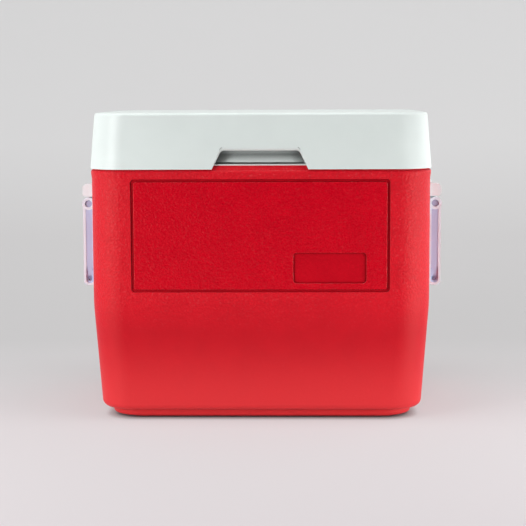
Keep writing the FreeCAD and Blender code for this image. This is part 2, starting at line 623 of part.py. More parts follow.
def make_lid_leaf(centre_x):
    """The moving leaf: plate on the lid's rear wall, two outer knuckles and their stop toes."""
    edge = HINGE_WIDTH / 2
    inner = CENTRE_KNUCKLE / 2 + KNUCKLE_GAP
    ends = [(centre_x - edge, centre_x - inner), (centre_x + inner, centre_x + edge)]
    rear = HALF_Y + LID_OVERHANG
    foot = LID_BOTTOM + KNUCKLE_GAP
    plate = leaf_plate((centre_x - edge, centre_x + edge), (rear, rear + HINGE_PLATE),
                       (foot, LID_BOTTOM + LID_LEAF_HEIGHT))
    plate = on_lid_rear(plate)
    # The toe's rear face points this far above level, so that it reaches the ledge at the stop.
    drop = math.asin((KNUCKLE_R + KNUCKLE_GAP) / TOE_REACH)
    lead = math.radians(LID_STOP_DEG) - drop
    toe_tip = (TOE_REACH * math.cos(lead), TOE_REACH * math.sin(lead))
    plate_y = rear - HINGE_Y
    plate_z = foot - HINGE_Z
    root = [(0, 0), toe_tip, (plate_y + HINGE_PLATE / 2, toe_tip[1] + HINGE_PLATE),
            (plate_y + HINGE_PLATE / 2, plate_z)]
    pieces = [plate]
    for x_range in ends:
        pieces.append(knuckle(x_range))
        pieces.append(hinge_prism(root, x_range))
    leaf = fuse(*pieces)
    holes = [on_lid_rear(screw_hole(point, Vec(0, -1, 0))) for point in lid_leaf_screw_points(centre_x)]
    whole = (centre_x - edge, centre_x + edge)
    return leaf.cut([lid_form(0, LID_BOTTOM - CUT, LID_TOP), hinge_bore(whole)] + holes)


def make_hinge_pin(centre_x):
    start = hinge_point(0, 0) + Vec(centre_x - HINGE_WIDTH / 2, 0, 0)
    return rod(start, Vec(1, 0, 0), HINGE_PIN_R, HINGE_WIDTH)


# ---- All nodes ----------------------------------------------------------------------------------
def mirrored(shape):
    """The left-hand copy of a right-hand piece."""
    return shape.mirror(Vec(0, 0, 0), Vec(1, 0, 0))


def make_nodes():
    nodes = {
        "body_shell": make_body_shell(),
        "body_liner": make_body_liner(),
        "body_foam": make_body_foam(),
        "foam_port_plug": make_foam_port_plug(),
        "lid_shell": make_lid_shell(),
        "lid_liner": make_lid_liner(),
        "lid_foam": make_lid_foam(),
    }
    bracket_screws = [screw(point, Vec(-1, 0, 0), BRACKET_PLATE) for point in bracket_screw_points()]
    front_pin = make_right_front_pin()
    right_side = {
        "handle": make_right_handle(),
        "handle_bracket": make_right_bracket(),
        "pivot_pin_front": front_pin,
        "pivot_pin_rear": front_pin.mirror(Vec(0, 0, 0), Vec(0, 1, 0)),
        "bracket_screws": Part.makeCompound(bracket_screws),
    }
    for name, shape in right_side.items():
        nodes["right_" + name] = shape
        nodes["left_" + name] = mirrored(shape)
    body_seat = BEAD_PROUD + HINGE_PLATE
    for side, centre_x in (("left", -HINGE_SPACING / 2), ("right", HINGE_SPACING / 2)):
        nodes[side + "_hinge_body_leaf"] = make_body_leaf(centre_x)
        nodes[side + "_hinge_lid_leaf"] = make_lid_leaf(centre_x)
        nodes[side + "_hinge_pin"] = make_hinge_pin(centre_x)
        body_screws = [screw(point, Vec(0, -1, 0), body_seat) for point in body_leaf_screw_points(centre_x)]
        lid_screws = [on_lid_rear(screw(point, Vec(0, -1, 0), HINGE_PLATE))
                      for point in lid_leaf_screw_points(centre_x)]
        nodes[side + "_hinge_body_screws"] = Part.makeCompound(body_screws)
        nodes[side + "_hinge_lid_screws"] = Part.makeCompound(lid_screws)
    return nodes


os.makedirs("parts", exist_ok=True)
for node, shape in make_nodes().items():
    shape.exportStep("parts/" + node + ".step")
    box = shape.BoundBox
    print(node, "solids", len(shape.Solids), "valid", shape.isValid(), "volume", round(shape.Volume),
          "box", [round(v, 1) for v in (box.XMin, box.XMax, box.YMin, box.YMax, box.ZMin, box.ZMax)])
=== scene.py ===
import json
import math
from contextlib import contextmanager

import bmesh
import bpy
from bpy.props import FloatProperty, FloatVectorProperty, IntProperty, PointerProperty
from mathutils import Euler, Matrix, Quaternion, Vector


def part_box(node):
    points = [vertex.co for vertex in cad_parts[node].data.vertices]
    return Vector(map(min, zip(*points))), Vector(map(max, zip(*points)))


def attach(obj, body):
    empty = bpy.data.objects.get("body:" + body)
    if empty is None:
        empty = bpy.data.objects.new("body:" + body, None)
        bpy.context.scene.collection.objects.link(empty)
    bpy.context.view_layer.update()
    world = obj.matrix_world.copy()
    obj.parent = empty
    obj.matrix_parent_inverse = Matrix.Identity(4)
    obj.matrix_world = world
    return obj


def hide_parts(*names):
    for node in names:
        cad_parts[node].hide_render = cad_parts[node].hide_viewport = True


# The visual model of an insulated chest cooler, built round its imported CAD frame.
#
# Metres, +Z up.  The front faces -Y and the side handles are at -X (left) and +X (right).

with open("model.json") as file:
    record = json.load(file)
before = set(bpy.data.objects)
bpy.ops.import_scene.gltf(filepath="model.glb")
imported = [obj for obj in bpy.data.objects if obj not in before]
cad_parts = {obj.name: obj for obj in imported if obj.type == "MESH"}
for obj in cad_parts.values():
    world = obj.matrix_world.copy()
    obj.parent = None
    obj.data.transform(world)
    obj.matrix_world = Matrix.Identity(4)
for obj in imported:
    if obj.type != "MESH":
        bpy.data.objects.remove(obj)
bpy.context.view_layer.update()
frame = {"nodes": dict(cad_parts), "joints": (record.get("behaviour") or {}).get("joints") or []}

bl_info = {
    "name": "Chest cooler builder",
    "version": (1, 0, 0),
    "blender": (4, 5, 0),
    "location": "View3D > Sidebar > Cooler",
    "description": "Builds an insulated chest cooler with a hinged lid and two swinging handles",
    "category": "Add Mesh",
}

# ---- Places that come from the frame ------------------------------------------------------------
TUB_LOW, TUB_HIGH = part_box("body_shell")
LINER_LOW, LINER_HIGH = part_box("body_liner")
LID_LOW, LID_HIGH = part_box("lid_shell")
LID_LINER_LOW, LID_LINER_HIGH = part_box("lid_liner")
PLATE_LOW, PLATE_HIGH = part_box("right_handle_bracket")
BAIL_LOW, BAIL_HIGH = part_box("right_handle")
PIN_LOW, PIN_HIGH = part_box("right_pivot_pin_front")
SWING_AT = Vector(next(j["pos_m"] for j in frame["joints"] if j["name"] == "right_handle_swing"))

SHOULDER = TUB_HIGH.z - 0.0057      # where the tub's walls end and its neck begins
SIDES = (("left", -1), ("right", 1))
OVERRUN = 0.005       # how far a cutter passes the face that it opens
ROOT = 0.001          # how far a part reaches into the one that carries it
FIT = 0.0002          # room between moulded parts that lie in or on one another
PIN_PLAY = 0.00006    # room round a pivot pin
TOUCH = 1e-5          # how near counts as the same place
SAME_POINT = 1e-6     # how near two vertices are merged
X, Y, Z = Vector((1, 0, 0)), Vector((0, 1, 0)), Vector((0, 0, 1))


# ---- Sizes and colours that a user would change -------------------------------------------------
def length(name, description, default, **more):
    return FloatProperty(name=name, description=description, default=default, min=0.0,
                         precision=5, unit="LENGTH", subtype="DISTANCE", **more)


def angle(name, description, degrees):
    return FloatProperty(name=name, description=description, default=math.radians(degrees),
                         unit="ROTATION", subtype="ANGLE")


def share(name, description, default):
    return FloatProperty(name=name, description=description, default=default, min=0.0, max=1.0,
                         subtype="FACTOR")


def linear(code):
    """The linear colour of an sRGB hex code."""
    channels = [int(code[at:at + 2], 16) / 255 for at in (1, 3, 5)]
    return [c / 12.92 if c <= 0.04045 else ((c + 0.055) / 1.055) ** 2.4 for c in channels]


def colour(name, description, code):
    return FloatVectorProperty(name=name, description=description, default=linear(code), size=3,
                               min=0.0, max=1.0, subtype="COLOR")


class CoolerTubSizes(bpy.types.PropertyGroup):
    corner_radius: length("Corner radius", "Upright corners of the tub", 0.040)
    corner_steps: IntProperty(name="Corner steps", description="Faces round each upright corner",
                              default=18, min=4, max=64)
    neck_height: length("Neck height", "Neck above the shoulder", 0.0056)
    neck_setback: length("Neck setback", "Neck in from the walls", 0.005)
    crease_height: length("Crease height", "Where the lower walls start to taper", 0.1354)
    crease_softness: length("Crease softness", "Half the width of the rounded crease", 0.0085)
    bottom_inset: length("Bottom inset", "Taper of each wall at the bottom edge", 0.00867)
    bottom_edge: length("Bottom edge", "Radius of the bottom edge", 0.008)
    plinth_height: length("Plinth height", "Underside to the tub's bottom", 0.0114)
    plinth_step: length("Plinth step", "Plinth in from the bottom edge", 0.0118)
    plinth_corner: length("Plinth corner", "Upright corners of the plinth", 0.034)
    plinth_lift: length("Plinth lift", "Height at which the plinth turns under", 0.0036)
    plinth_tuck: length("Plinth tuck", "Foot in from the plinth's wall", 0.010)
    plinth_edge: length("Plinth edge", "Rounding where the plinth turns under", 0.0024)
    bead_height: length("Bead height", "Raised band under the shoulder", 0.0085)
    bead_proud: length("Bead proud", "Band beyond the walls", 0.0008)
    bead_edge: length("Bead edge", "Radius of the shoulder's edge", 0.0024)
    bead_blend: length("Bead blend", "Height over which the band swells out of the wall", 0.0046)
    wall: length("Wall", "Thickness of the shell", 0.003)
    panel_width: length("Panel width", "Across the groove's outer edge", 0.3000)
    panel_height: length("Panel height", "Groove's outer edge, top to bottom", 0.1312)
    panel_drop: length("Panel drop", "Shoulder down to the groove", 0.0102)
    panel_corner: length("Panel corner", "Outer radius of the groove's corners", 0.004)
    groove_width: length("Groove width", "Width of the panel's groove", 0.0030)
    groove_depth: length("Groove depth", "Depth of the panel's groove", 0.0017)
    badge_width: length("Badge width", "Width of the bare badge field", 0.0844)
    badge_height: length("Badge height", "Height of the bare badge field", 0.0355)
    badge_depth: length("Badge depth", "Depth of the bare badge field", 0.0021)
    badge_side: length("Badge side", "From the panel's right edge", 0.0272)
    badge_bottom: length("Badge bottom", "From the panel's lower edge", 0.0103)
    badge_corner: length("Badge corner", "Corners of the badge field", 0.004)
    moulded_edge: length("Moulded edge", "Rounding of the groove's and badge field's edges", 0.0010)


class CoolerLinerSizes(bpy.types.PropertyGroup):
    insulation: length("Insulation", "Shell's outer face to the cavity, at the top", 0.0275)
    draft: angle("Draft", "Lean of the cavity's walls", 1.5)
    wall: length("Wall", "Thickness of the liner", 0.0025)
    corner_radius: length("Corner radius", "Upright corners of the cavity", 0.026)
    floor_radius: length("Floor radius", "Round the cavity's floor", 0.016)
    flange: length("Flange", "Thickness of the flange", 0.0016)
    flange_corner: length("Flange corner", "Upright corners of the flange", 0.0355)
    lip: length("Lip", "Radius of the flange's upper edges", 0.0007)


class CoolerLidSizes(bpy.types.PropertyGroup):
    corner_radius: length("Corner radius", "Upright corners of the lid", 0.041)
    draft: angle("Draft", "Lean of the lid's walls", 4.5)
    wall: length("Wall", "Thickness of the lid's shell", 0.003)
    top_edge: length("Top edge", "Radius round the top", 0.0035)
    notch_top: length("Notch top", "Finger notch's width at its top", 0.090)
    notch_bottom: length("Notch bottom", "Finger notch's width at the skirt's edge", 0.111)
    notch_height: length("Notch height", "Finger notch's height", 0.0213)
    notch_corner: length("Notch corner", "Finger notch's upper corners", 0.003)
    notch_lip: length("Notch lip", "Rounding of the finger notch's upper edge", 0.0040)
    notch_side: length("Notch side", "Rounding of the finger notch's sides", 0.0012)
    pocket_depth: length("Pocket depth", "Skirt's edge back to the pocket's rear wall", 0.017)
    pocket_cove: length("Pocket cove", "Radius where the pocket's roof meets its rear wall", 0.0055)
    pocket_lean: length("Pocket lean", "Rear wall's foot ahead of its top", 0.011)
    pocket_wall: length("Pocket wall", "Thickness of the pocket's walls", 0.0025)
    rim: length("Rim", "Thickness of the lid liner's rim", 0.0025)
    plug_inset: length("Plug inset", "Tub wall to the plug", 0.0305)
    plug_depth: length("Plug depth", "Rim down to the plug's underside", 0.021)
    plug_corner: length("Plug corner", "Upright corners of the plug", 0.023)
    plug_edge: length("Plug edge", "Radius round the plug's underside", 0.008)


class CoolerHandleSizes(bpy.types.PropertyGroup):
    arm: length("Arm", "Thickness of each arm, front to back", 0.009)
    arm_drop: length("Arm drop", "Pivot down to the arm's square shoulders", 0.0036)
    arm_rim: length("Arm rim", "Width of the rim round the arm's recess", 0.0030)
    arm_recess: length("Arm recess", "Depth of the arm's recess", 0.0005)
    outer_corner: length("Outer corner", "Arm's outer lower corner", 0.006)
    inner_corner: length("Inner corner", "Arm's inner lower corner", 0.005)
    outboard: length("Outboard", "Arm's outer edge from the pivot", 0.0067)
    inboard: length("Inboard", "Arm's inner edge from the pivot", 0.0075)
    eye: length("Eye", "Radius of the eye", 0.0076)
    eye_recess: length("Eye recess", "Radius of the recess for the pin's head", 0.0043)
    eye_depth: length("Eye depth", "Depth of the recess for the pin's head", 0.003)
    grip_height: length("Grip height", "Height of the grip", 0.026)
    grip_wall: length("Grip wall", "Rim round the hollow in each end of the grip", 0.0025)
    grip_hollow: length("Grip hollow", "Depth of the hollow in each end of the grip", 0.0016)
    grip_boss: length("Grip boss", "Radius of the boss in the hollow", 0.0031)
    grip_bore: length("Grip bore", "Radius of the bore in the hollow", 0.0034)
    grip_bore_depth: length("Grip bore depth", "Depth of the bore behind the hollow", 0.005)
    pin: length("Pin", "Radius of the pivot pin", 0.003)
    pin_head: length("Pin head", "Radius of the pin's head", 0.004)
    pin_head_thick: length("Pin head thickness", "Thickness of the pin's head", 0.0014)
    plate: length("Plate", "Thickness of the bracket's plate", 0.0022)
    plate_corner: length("Plate corner", "Corners of the bracket's plate", 0.005)
    hood_thick: length("Hood thickness", "Height of each hood", 0.0154)
    hood_reach: length("Hood reach", "Hood out from the wall", 0.017)
    hood_margin: length("Hood margin", "Hood past the arm's outer face", 0.003)
    hood_edge: length("Hood edge", "Radius of the hood's upper outer edge", 0.0056)
    hood_under: length("Hood underside", "Radius of the hood's lower outer edge", 0.004)
    lug: length("Lug", "Thickness of the lug behind the arm", 0.0084)
    lug_gap: length("Lug gap", "Lug to arm", 0.0006)
    rail_thick: length("Rail thickness", "Height of the rail between the hoods", 0.005)
    rail_reach: length("Rail reach", "Rail out from the wall", 0.008)
    soft_edge: length("Soft edge", "Rounding of the moulded edges", 0.0007)


class CoolerScrewSizes(bpy.types.PropertyGroup):
    shank: length("Shank", "Radius of the screw's shank", 0.0018)
    head: length("Head", "Radius of the screw's pan head", 0.0037)
    head_thick: length("Head thickness", "Height of the pan head", 0.0022)
    head_crown: length("Head crown", "Rounding of the pan head", 0.0013)
    recess_width: length("Recess width", "Width of each slot of the cross recess", 0.0009)
    recess_length: length("Recess length", "Length of each slot of the cross recess", 0.0042)
    recess_depth: length("Recess depth", "Depth of the cross recess", 0.0013)
    depth: length("Depth", "Shank below the wall's face", 0.013)


class CoolerFinishes(bpy.types.PropertyGroup):
    tub_red: colour("Tub red", "Grained polypropylene of the tub", "#DF0421")
    tub_red_deep: colour("Deep red", "The tub's colour in its mottling", "#D7021F")
    # The low red paints the floor's bounce light onto the tub's foot.
    tub_red_bounce: colour("Low red", "The tub's colour where its foot is scuffed paler", "#FA3A40")
    lid_white: colour("Lid white", "Satin polypropylene of the lid", "#E2EAE7")
    liner_white: colour("Liner white", "Gloss polystyrene of the liners", "#E9EAE8")
    handle_white: colour("Handle white", "Moulded polypropylene of the handles", "#EBF2FB")
    # The web white paints shade: the webs lie in the arms' shallow recesses.
    web_shade_white: colour("Web white", "The thin webs of the handles", "#C2CFED")
    bracket_white: colour("Bracket white", "Moulded polypropylene of brackets and hinges", "#EEFAFC")
    pin_grey: colour("Pin grey", "Acetal of the pivot pins", "#B9BAD6")
    foam_cream: colour("Foam cream", "Rigid polyurethane foam", "#E8D7A4")
    floor_grey: colour("Floor grey", "Studio floor and backdrop", "#D6D5D6")
    paper_evenness: share("Paper evenness", "Share of the paper's own grey, whatever the light", 0.6)
    grain_size: length("Grain size", "Size of the tub's leather grain", 0.0027)
    tub_roughness: share("Tub roughness", "Roughness of the tub", 0.48)
    panel_roughness: share("Panel roughness", "Roughness of the tub inside the groove", 0.27)
    lid_roughness: share("Lid roughness", "Roughness of the lid", 0.38)


def sizes(part):
    return getattr(bpy.context.scene, "cooler_" + part)


# ---- Modelling helpers --------------------------------------------------------------------------
def choose(*pieces):
    """Selects these objects alone; the first is active."""
    bpy.ops.object.select_all(action="DESELECT")
    for piece in pieces:
        piece.select_set(True)
    bpy.context.view_layer.objects.active = pieces[0]


@contextmanager
def shaping(piece):
    """Edit mode on one piece."""
    choose(piece)
    bpy.ops.object.mode_set(mode="EDIT")
    bpy.ops.mesh.select_mode(type="VERT")
    bpy.ops.mesh.select_all(action="DESELECT")
    yield
    bpy.ops.object.mode_set(mode="OBJECT")


def pick(piece, kind, test):
    """Selects the vertices, edges or faces that pass a test; none at all is an error."""
    bpy.ops.mesh.select_mode(type=kind)
    bpy.ops.mesh.select_all(action="DESELECT")
    mesh = bmesh.from_edit_mesh(piece.data)
    found = [element for element in {"VERT": mesh.verts, "EDGE": mesh.edges, "FACE": mesh.faces}[kind]
             if test(element)]
    if not found:
        raise RuntimeError(f"{piece.name}: nothing to select")
    for element in found:
        element.select_set(True)
    bmesh.update_edit_mesh(piece.data)


def round_edges(piece, radius, steps, test):
    """Rounds the edges that pass a test."""
    pick(piece, "EDGE", test)
    bpy.ops.mesh.bevel(offset=radius, segments=steps, affect="EDGES")


def extrude(x, y, z):
    bpy.ops.mesh.extrude_region_move(TRANSFORM_OT_translate={"value": (x, y, z)})


def resize(x, y, z=1, centre=(0, 0, 0)):
    bpy.ops.transform.resize(value=(x, y, z), center_override=centre)


def all_at(element, axis, place):
    """Whether every vertex of an edge or face lies at this place along an axis (0, 1 or 2)."""
    return all(abs(vertex.co[axis] - place) < TOUCH for vertex in element.verts)


def runs(edge, axis):
    """Whether an edge runs along an axis."""
    way = edge.verts[1].co - edge.verts[0].co
    return way.length > TOUCH and abs(way[axis]) > 0.999 * way.length


def faces_way(face, direction):
    return face.normal.dot(direction) > 0.999


def add_block(name, low, high):
    """A block between two corners, with its place in its mesh."""
    low, high = Vector(low), Vector(high)
    bpy.ops.mesh.primitive_cube_add(size=1, location=(low + high) / 2, scale=high - low)
    return settle(name)


def add_rod(name, start, axis, radius, reach, around=32):
    """A rod from start along axis 0, 1 or 2; a negative reach runs the other way."""
    start = Vector(start)
    way = Vector((0, 0, 0))
    way[axis] = reach
    turn = ((0, math.radians(90), 0), (math.radians(90), 0, 0), (0, 0, 0))[axis]
    bpy.ops.mesh.primitive_cylinder_add(vertices=around, radius=radius, depth=abs(reach),
                                        location=start + way / 2, rotation=turn)
    return settle(name)


def settle(name):
    """Names the new piece and moves its place into its mesh."""
    piece = bpy.context.active_object
    piece.name = name
    piece.data.name = name
    choose(piece)
    bpy.ops.object.transform_apply(location=True, rotation=True, scale=True)
    return piece


def rounded_block(name, half_x, half_y, low, high, radius, steps=18):
    """A block centred on the Z axis, with rounded upright corners."""
    piece = add_block(name, (-half_x, -half_y, low), (half_x, half_y, high))
    with shaping(piece):
        round_edges(piece, radius, steps, lambda edge: runs(edge, 2))
    return piece


def slab(name, x_range, y_range, z_range, radius):
    """An upright plate whose corners are round as seen from the front."""
    piece = add_block(name, *zip(x_range, y_range, z_range))
    with shaping(piece):
        round_edges(piece, radius, 6, lambda edge: runs(edge, 1))
    return piece


def spread(piece, test, factor_x, factor_y):
    """Widens or narrows some levels of a piece about the Z axis."""
    pick(piece, "VERT", test)
    resize(factor_x, factor_y)


def draw_in(piece, test, half_x, half_y, inset):
    """Moves the walls in by an inset at some levels of a block of this half width and depth."""
    spread(piece, test, (half_x - inset) / half_x, (half_y - inset) / half_y)


def cut_level(place, direction):
    """Divides the whole piece along a plane."""
    bpy.ops.mesh.select_all(action="SELECT")
    bpy.ops.mesh.bisect(plane_co=place, plane_no=direction)


def apply_modifier(piece, modifier):
    choose(piece)
    bpy.ops.object.modifier_apply(modifier=modifier.name)


def combine(piece, others, operation):
    """Applies a boolean with each of the others, and removes them."""
    for other in others:
        modifier = piece.modifiers.new(operation.title(), "BOOLEAN")
        modifier.operation = operation
        modifier.solver = "EXACT"
        modifier.object = other
        apply_modifier(piece, modifier)
        bpy.data.objects.remove(other, do_unlink=True)


def unite(piece, *others):
    combine(piece, others, "UNION")


def cut(piece, *others):
    combine(piece, others, "DIFFERENCE")


def merge_close(piece):
    near = 2 * TOUCH
    with shaping(piece):
        bpy.ops.mesh.select_all(action="SELECT")
        bpy.ops.mesh.remove_doubles(threshold=near)
        bpy.ops.mesh.dissolve_degenerate(threshold=near)


def soften(piece, width, limit=50):
    """Rounds every edge sharper than the limit, in degrees."""
    modifier = piece.modifiers.new("Moulded edges", "BEVEL")
    modifier.width = width
    modifier.segments = 2
    modifier.limit_method = "ANGLE"
    modifier.angle_limit = math.radians(limit)
    modifier.miter_outer = "MITER_ARC"
    modifier.use_clamp_overlap = True
    apply_modifier(piece, modifier)


def own_copy(piece, name):
    """A copy with its own mesh."""
    choose(piece)
    bpy.ops.object.duplicate(linked=False)
    copy = bpy.context.active_object
    copy.name = name
    copy.data.name = name
    return copy


def mirrored_copy(piece, name, axis):
    """The mirror image across the middle of the frame, right side out."""
    copy = own_copy(piece, name)
    flip = [1, 1, 1]
    flip[axis] = -1
    with shaping(copy):
        bpy.ops.mesh.select_all(action="SELECT")
        resize(*flip)
        bpy.ops.mesh.remove_doubles(threshold=SAME_POINT)
        bpy.ops.mesh.normals_make_consistent(inside=False)
    return copy


def finish(piece, material, smooth=35):
    """Smooth shading that keeps flat faces flat, and the piece's material."""
    choose(piece)
    bpy.ops.object.shade_smooth_by_angle(angle=math.radians(smooth))
    modifier = piece.modifiers.new("Flat faces lead", "WEIGHTED_NORMAL")
    modifier.keep_sharp = True
    modifier.weight = 80
    apply_modifier(piece, modifier)
    piece.data.materials.clear()
    piece.data.materials.append(material)


def softened_copy(name, node, width):
    """A CAD node's copy, merged and with rounded edges."""
    piece = bpy.data.objects.new(name, frame["nodes"][node].data.copy())
    piece.data.name = name
    bpy.context.scene.collection.objects.link(piece)
    choose(piece)
    bpy.ops.mesh.customdata_custom_splitnormals_clear()
    with shaping(piece):
        bpy.ops.mesh.select_all(action="SELECT")
        bpy.ops.mesh.remove_doubles(threshold=SAME_POINT)
        bpy.ops.mesh.dissolve_limited(angle_limit=math.radians(1))
    soften(piece, width)
    return piece


# ---- Materials ----------------------------------------------------------------------------------
def add_node(tree, kind, values=None, **settings):
    """A node with its settings; each value is a number or colour, or the socket that feeds it."""
    node = tree.nodes.new(kind)
    for name, setting in settings.items():
        setattr(node, name, setting)
    for name, value in (values or {}).items():
        socket = node.inputs[name]
        if isinstance(value, bpy.types.NodeSocket):
            tree.links.new(value, socket)
        else:
            socket.default_value = value
    return node


def shades(low, high, *colours):
    """Colour stops at even steps between two places."""
    gap = (high - low) / (len(colours) - 1)
    return [(low + gap * at, (*tone, 1)) for at, tone in enumerate(colours)]


def ramp(tree, factor, stops):
    """A colour ramp with these (place, colour) stops."""
    node = add_node(tree, "ShaderNodeValToRGB", {"Fac": factor})
    elements = node.color_ramp.elements
    while len(elements) < len(stops):
        elements.new(0.5)
    for element, (place, tone) in zip(elements, stops):
        element.position = place
        element.color = tone
    return node.outputs["Color"]


def per_size(metres):
    """The texture scale at which one pattern step is this long."""
    return 1 / metres


def start_material(name):
    """An empty material with its tree and the object's own coordinates."""
    material = bpy.data.materials.new(name)
    material.use_nodes = True
    tree = material.node_tree
    tree.nodes.clear()
    place = add_node(tree, "ShaderNodeTexCoord").outputs["Object"]
    return material, tree, place


def end_material(material, tree, values):
    """Adds the surface shader and the output."""
    shader = add_node(tree, "ShaderNodeBsdfPrincipled", values)
    add_node(tree, "ShaderNodeOutputMaterial", {"Surface": shader.outputs["BSDF"]})
    return material


def noise(tree, place, metres, detail=2.0, roughness=0.5, output="Fac"):
    return add_node(tree, "ShaderNodeTexNoise", {"Vector": place, "Scale": per_size(metres),
                    "Detail": detail, "Roughness": roughness}).outputs[output]


def cells(tree, place, metres):
    """Distance from the middle of each cell, for cells of about this size."""
    return add_node(tree, "ShaderNodeTexVoronoi", {"Vector": place,
                    "Scale": per_size(metres)}).outputs["Distance"]


def remap(tree, value, low, high, new_low=0.0, new_high=1.0, **settings):
    """Maps a range of values to another one, and holds what is beyond it."""
    return add_node(tree, "ShaderNodeMapRange", {"Value": value, "From Min": low, "From Max": high,
                    "To Min": new_low, "To Max": new_high}, **settings).outputs["Result"]


def bump(tree, height, strength, distance):
    """The surface's normal under a relief of this height."""
    return add_node(tree, "ShaderNodeBump", {"Height": height, "Strength": strength,
                    "Distance": distance}).outputs["Normal"]


def axes(tree, place):
    """A place's three coordinates."""
    return add_node(tree, "ShaderNodeSeparateXYZ", {"Vector": place}).outputs


def math_node(tree, operation, first, second):
    return add_node(tree, "ShaderNodeMath", {0: first, 1: second}, operation=operation).outputs["Value"]


def product(tree, first, second):
    return math_node(tree, "MULTIPLY", first, second)


def blend_colours(tree, factor, first, second, blend_type="MIX"):
    node = add_node(tree, "ShaderNodeMix", {0: factor, 6: first, 7: second}, data_type="RGBA",
                    blend_type=blend_type)
    return node.outputs[2]


def shade_corners(tree, surface, reach, power, tone):
    """Paints shade into deep corners: the colour turns towards a dark tone of itself where ambient
    occlusion finds faces close by.
    """
    open_air = add_node(tree, "ShaderNodeAmbientOcclusion", {"Distance": reach}, samples=8,
                        only_local=True).outputs["AO"]
    unshaded = math_node(tree, "POWER", open_air, power)
    return blend_colours(tree, unshaded, [channel * 0.10 for channel in tone] + [1], surface)


# The moulded grain is whole above this height, and worn nearly smooth below the lower one.
GRAIN_WORN, GRAIN_WHOLE = 0.105, 0.150
# Between these heights the red turns paler towards the foot: painted light from the floor's bounce.
BOUNCE_TOP, BOUNCE_FOOT = 0.108, 0.012
GRAIN_PULL = 0.0022       # how far the slower noise pulls the grain's cells about


def grained_polypropylene(name, roughness, relief, crown_glint=0.035, light=1.0, sheen=0.44, shade=0):
    """Polypropylene from a leather-grained tool: a deep colour under fine broken highlights."""
    look = sizes("finishes")
    material, tree, place = start_material(name)
    # Grain cells of 2 to 3 mm, pulled about by a slower noise as in a real leather grain.
    warp = noise(tree, place, look.grain_size * 2.2, output="Color")
    bent = add_node(tree, "ShaderNodeMix", {0: GRAIN_PULL, 4: place, 5: warp},
                    data_type="VECTOR").outputs[1]
    pebbles = cells(tree, bent, look.grain_size)
    pores = noise(tree, place, look.grain_size * 0.5, detail=3.0, roughness=0.65)
    grain = math_node(tree, "ADD", product(tree, pebbles, 0.8), product(tree, pores, 0.5))
    # The grain is worn nearly smooth below the crease. The red is dimmed by the light factor, and dimmed
    # more below the crease, which paints shade there. Towards the foot it turns paler, which is painted
    # light from the floor's bounce.
    height = axes(tree, place)["Z"]
    kept = remap(tree, height, GRAIN_WORN, GRAIN_WHOLE, relief * 0.12, relief)
    bounce_share = remap(tree, height, BOUNCE_TOP, BOUNCE_FOOT, 0.0, 0.85, interpolation_type="SMOOTHSTEP")
    painted_dimming = remap(tree, height, GRAIN_WORN, GRAIN_WHOLE, 0.82 * light, light)
    mottle = noise(tree, place, 0.030, detail=3.0, roughness=0.6)
    body = ramp(tree, mottle, shades(0.3, 0.7, look.tub_red_deep, look.tub_red))
    bounce_lit = blend_colours(tree, bounce_share, body, (*look.tub_red_bounce, 1))
    dimmed_and_bounce_lit = blend_colours(tree, 1.0, bounce_lit, painted_dimming, "MULTIPLY")
    # The grain's hollows are painted a little darker, which is painted shade. Its crowns get pale flecks,
    # which are painted highlights where the grain would catch the light.
    hollows = ramp(tree, pebbles, shades(0.25, 0.75, [1.0] * 3, [0.91] * 3))
    tone = blend_colours(tree, kept, dimmed_and_bounce_lit, hollows, "MULTIPLY")
    clusters = noise(tree, place, look.grain_size * 1.2, detail=3.0, roughness=0.7)
    crowns = product(tree, kept, remap(tree, clusters, 0.56, 0.74, 0.0, crown_glint))
    tone = blend_colours(tree, crowns, tone, (1, 1, 1, 1))
    # With a shade, the grain's colour gets painted shade in its deep corners.
    if shade:
        tone = shade_corners(tree, tone, 0.004, shade, look.tub_red)
    rough = remap(tree, pores, 0.3, 0.7, roughness - 0.05, roughness + 0.07)
    return end_material(material, tree, {"Base Color": tone, "Roughness": rough, "IOR": 1.42,
                        "Specular IOR Level": sheen, "Specular Tint": (1.0, 0.74, 0.64, 1),
                        "Normal": bump(tree, grain, kept, 0.00065)})


def satin_white_plastic(name, tone, roughness, waviness=0.006, height=0.00005, shade=0):
    """White moulded plastic: an even satin skin with a faint orange-peel wave and flow marks."""
    material, tree, place = start_material(name)
    wave = noise(tree, place, waviness)
    skin = noise(tree, place, 0.0012, roughness=0.6)
    relief = math_node(tree, "ADD", wave, product(tree, skin, 0.25))
    cloud = noise(tree, place, 0.055)
    body = ramp(tree, cloud, shades(0.3, 0.7, [channel * 0.955 for channel in tone], tone))
    # With a shade, the colour gets painted shade in its deep corners.
    if shade:
        body = shade_corners(tree, body, 0.012, shade, tone)
    rough = remap(tree, skin, 0.3, 0.7, roughness - 0.03, roughness + 0.04)
    return end_material(material, tree, {"Base Color": body, "Roughness": rough, "IOR": 1.49,
                        "Normal": bump(tree, relief, 0.35, height)})


def moulded_acetal():
    """Acetal, injection moulded: a dense, slightly waxy grey."""
    grey = sizes("finishes").pin_grey
    material, tree, place = start_material("Acetal, injection moulded, grey")
    skin = noise(tree, place, 0.0008)
    body = ramp(tree, skin, shades(0.3, 0.7, [channel * 0.9 for channel in grey], grey))
    return end_material(material, tree, {"Base Color": body, "Roughness": 0.34, "IOR": 1.48,
                        "Normal": bump(tree, skin, 0.2, 0.00004)})


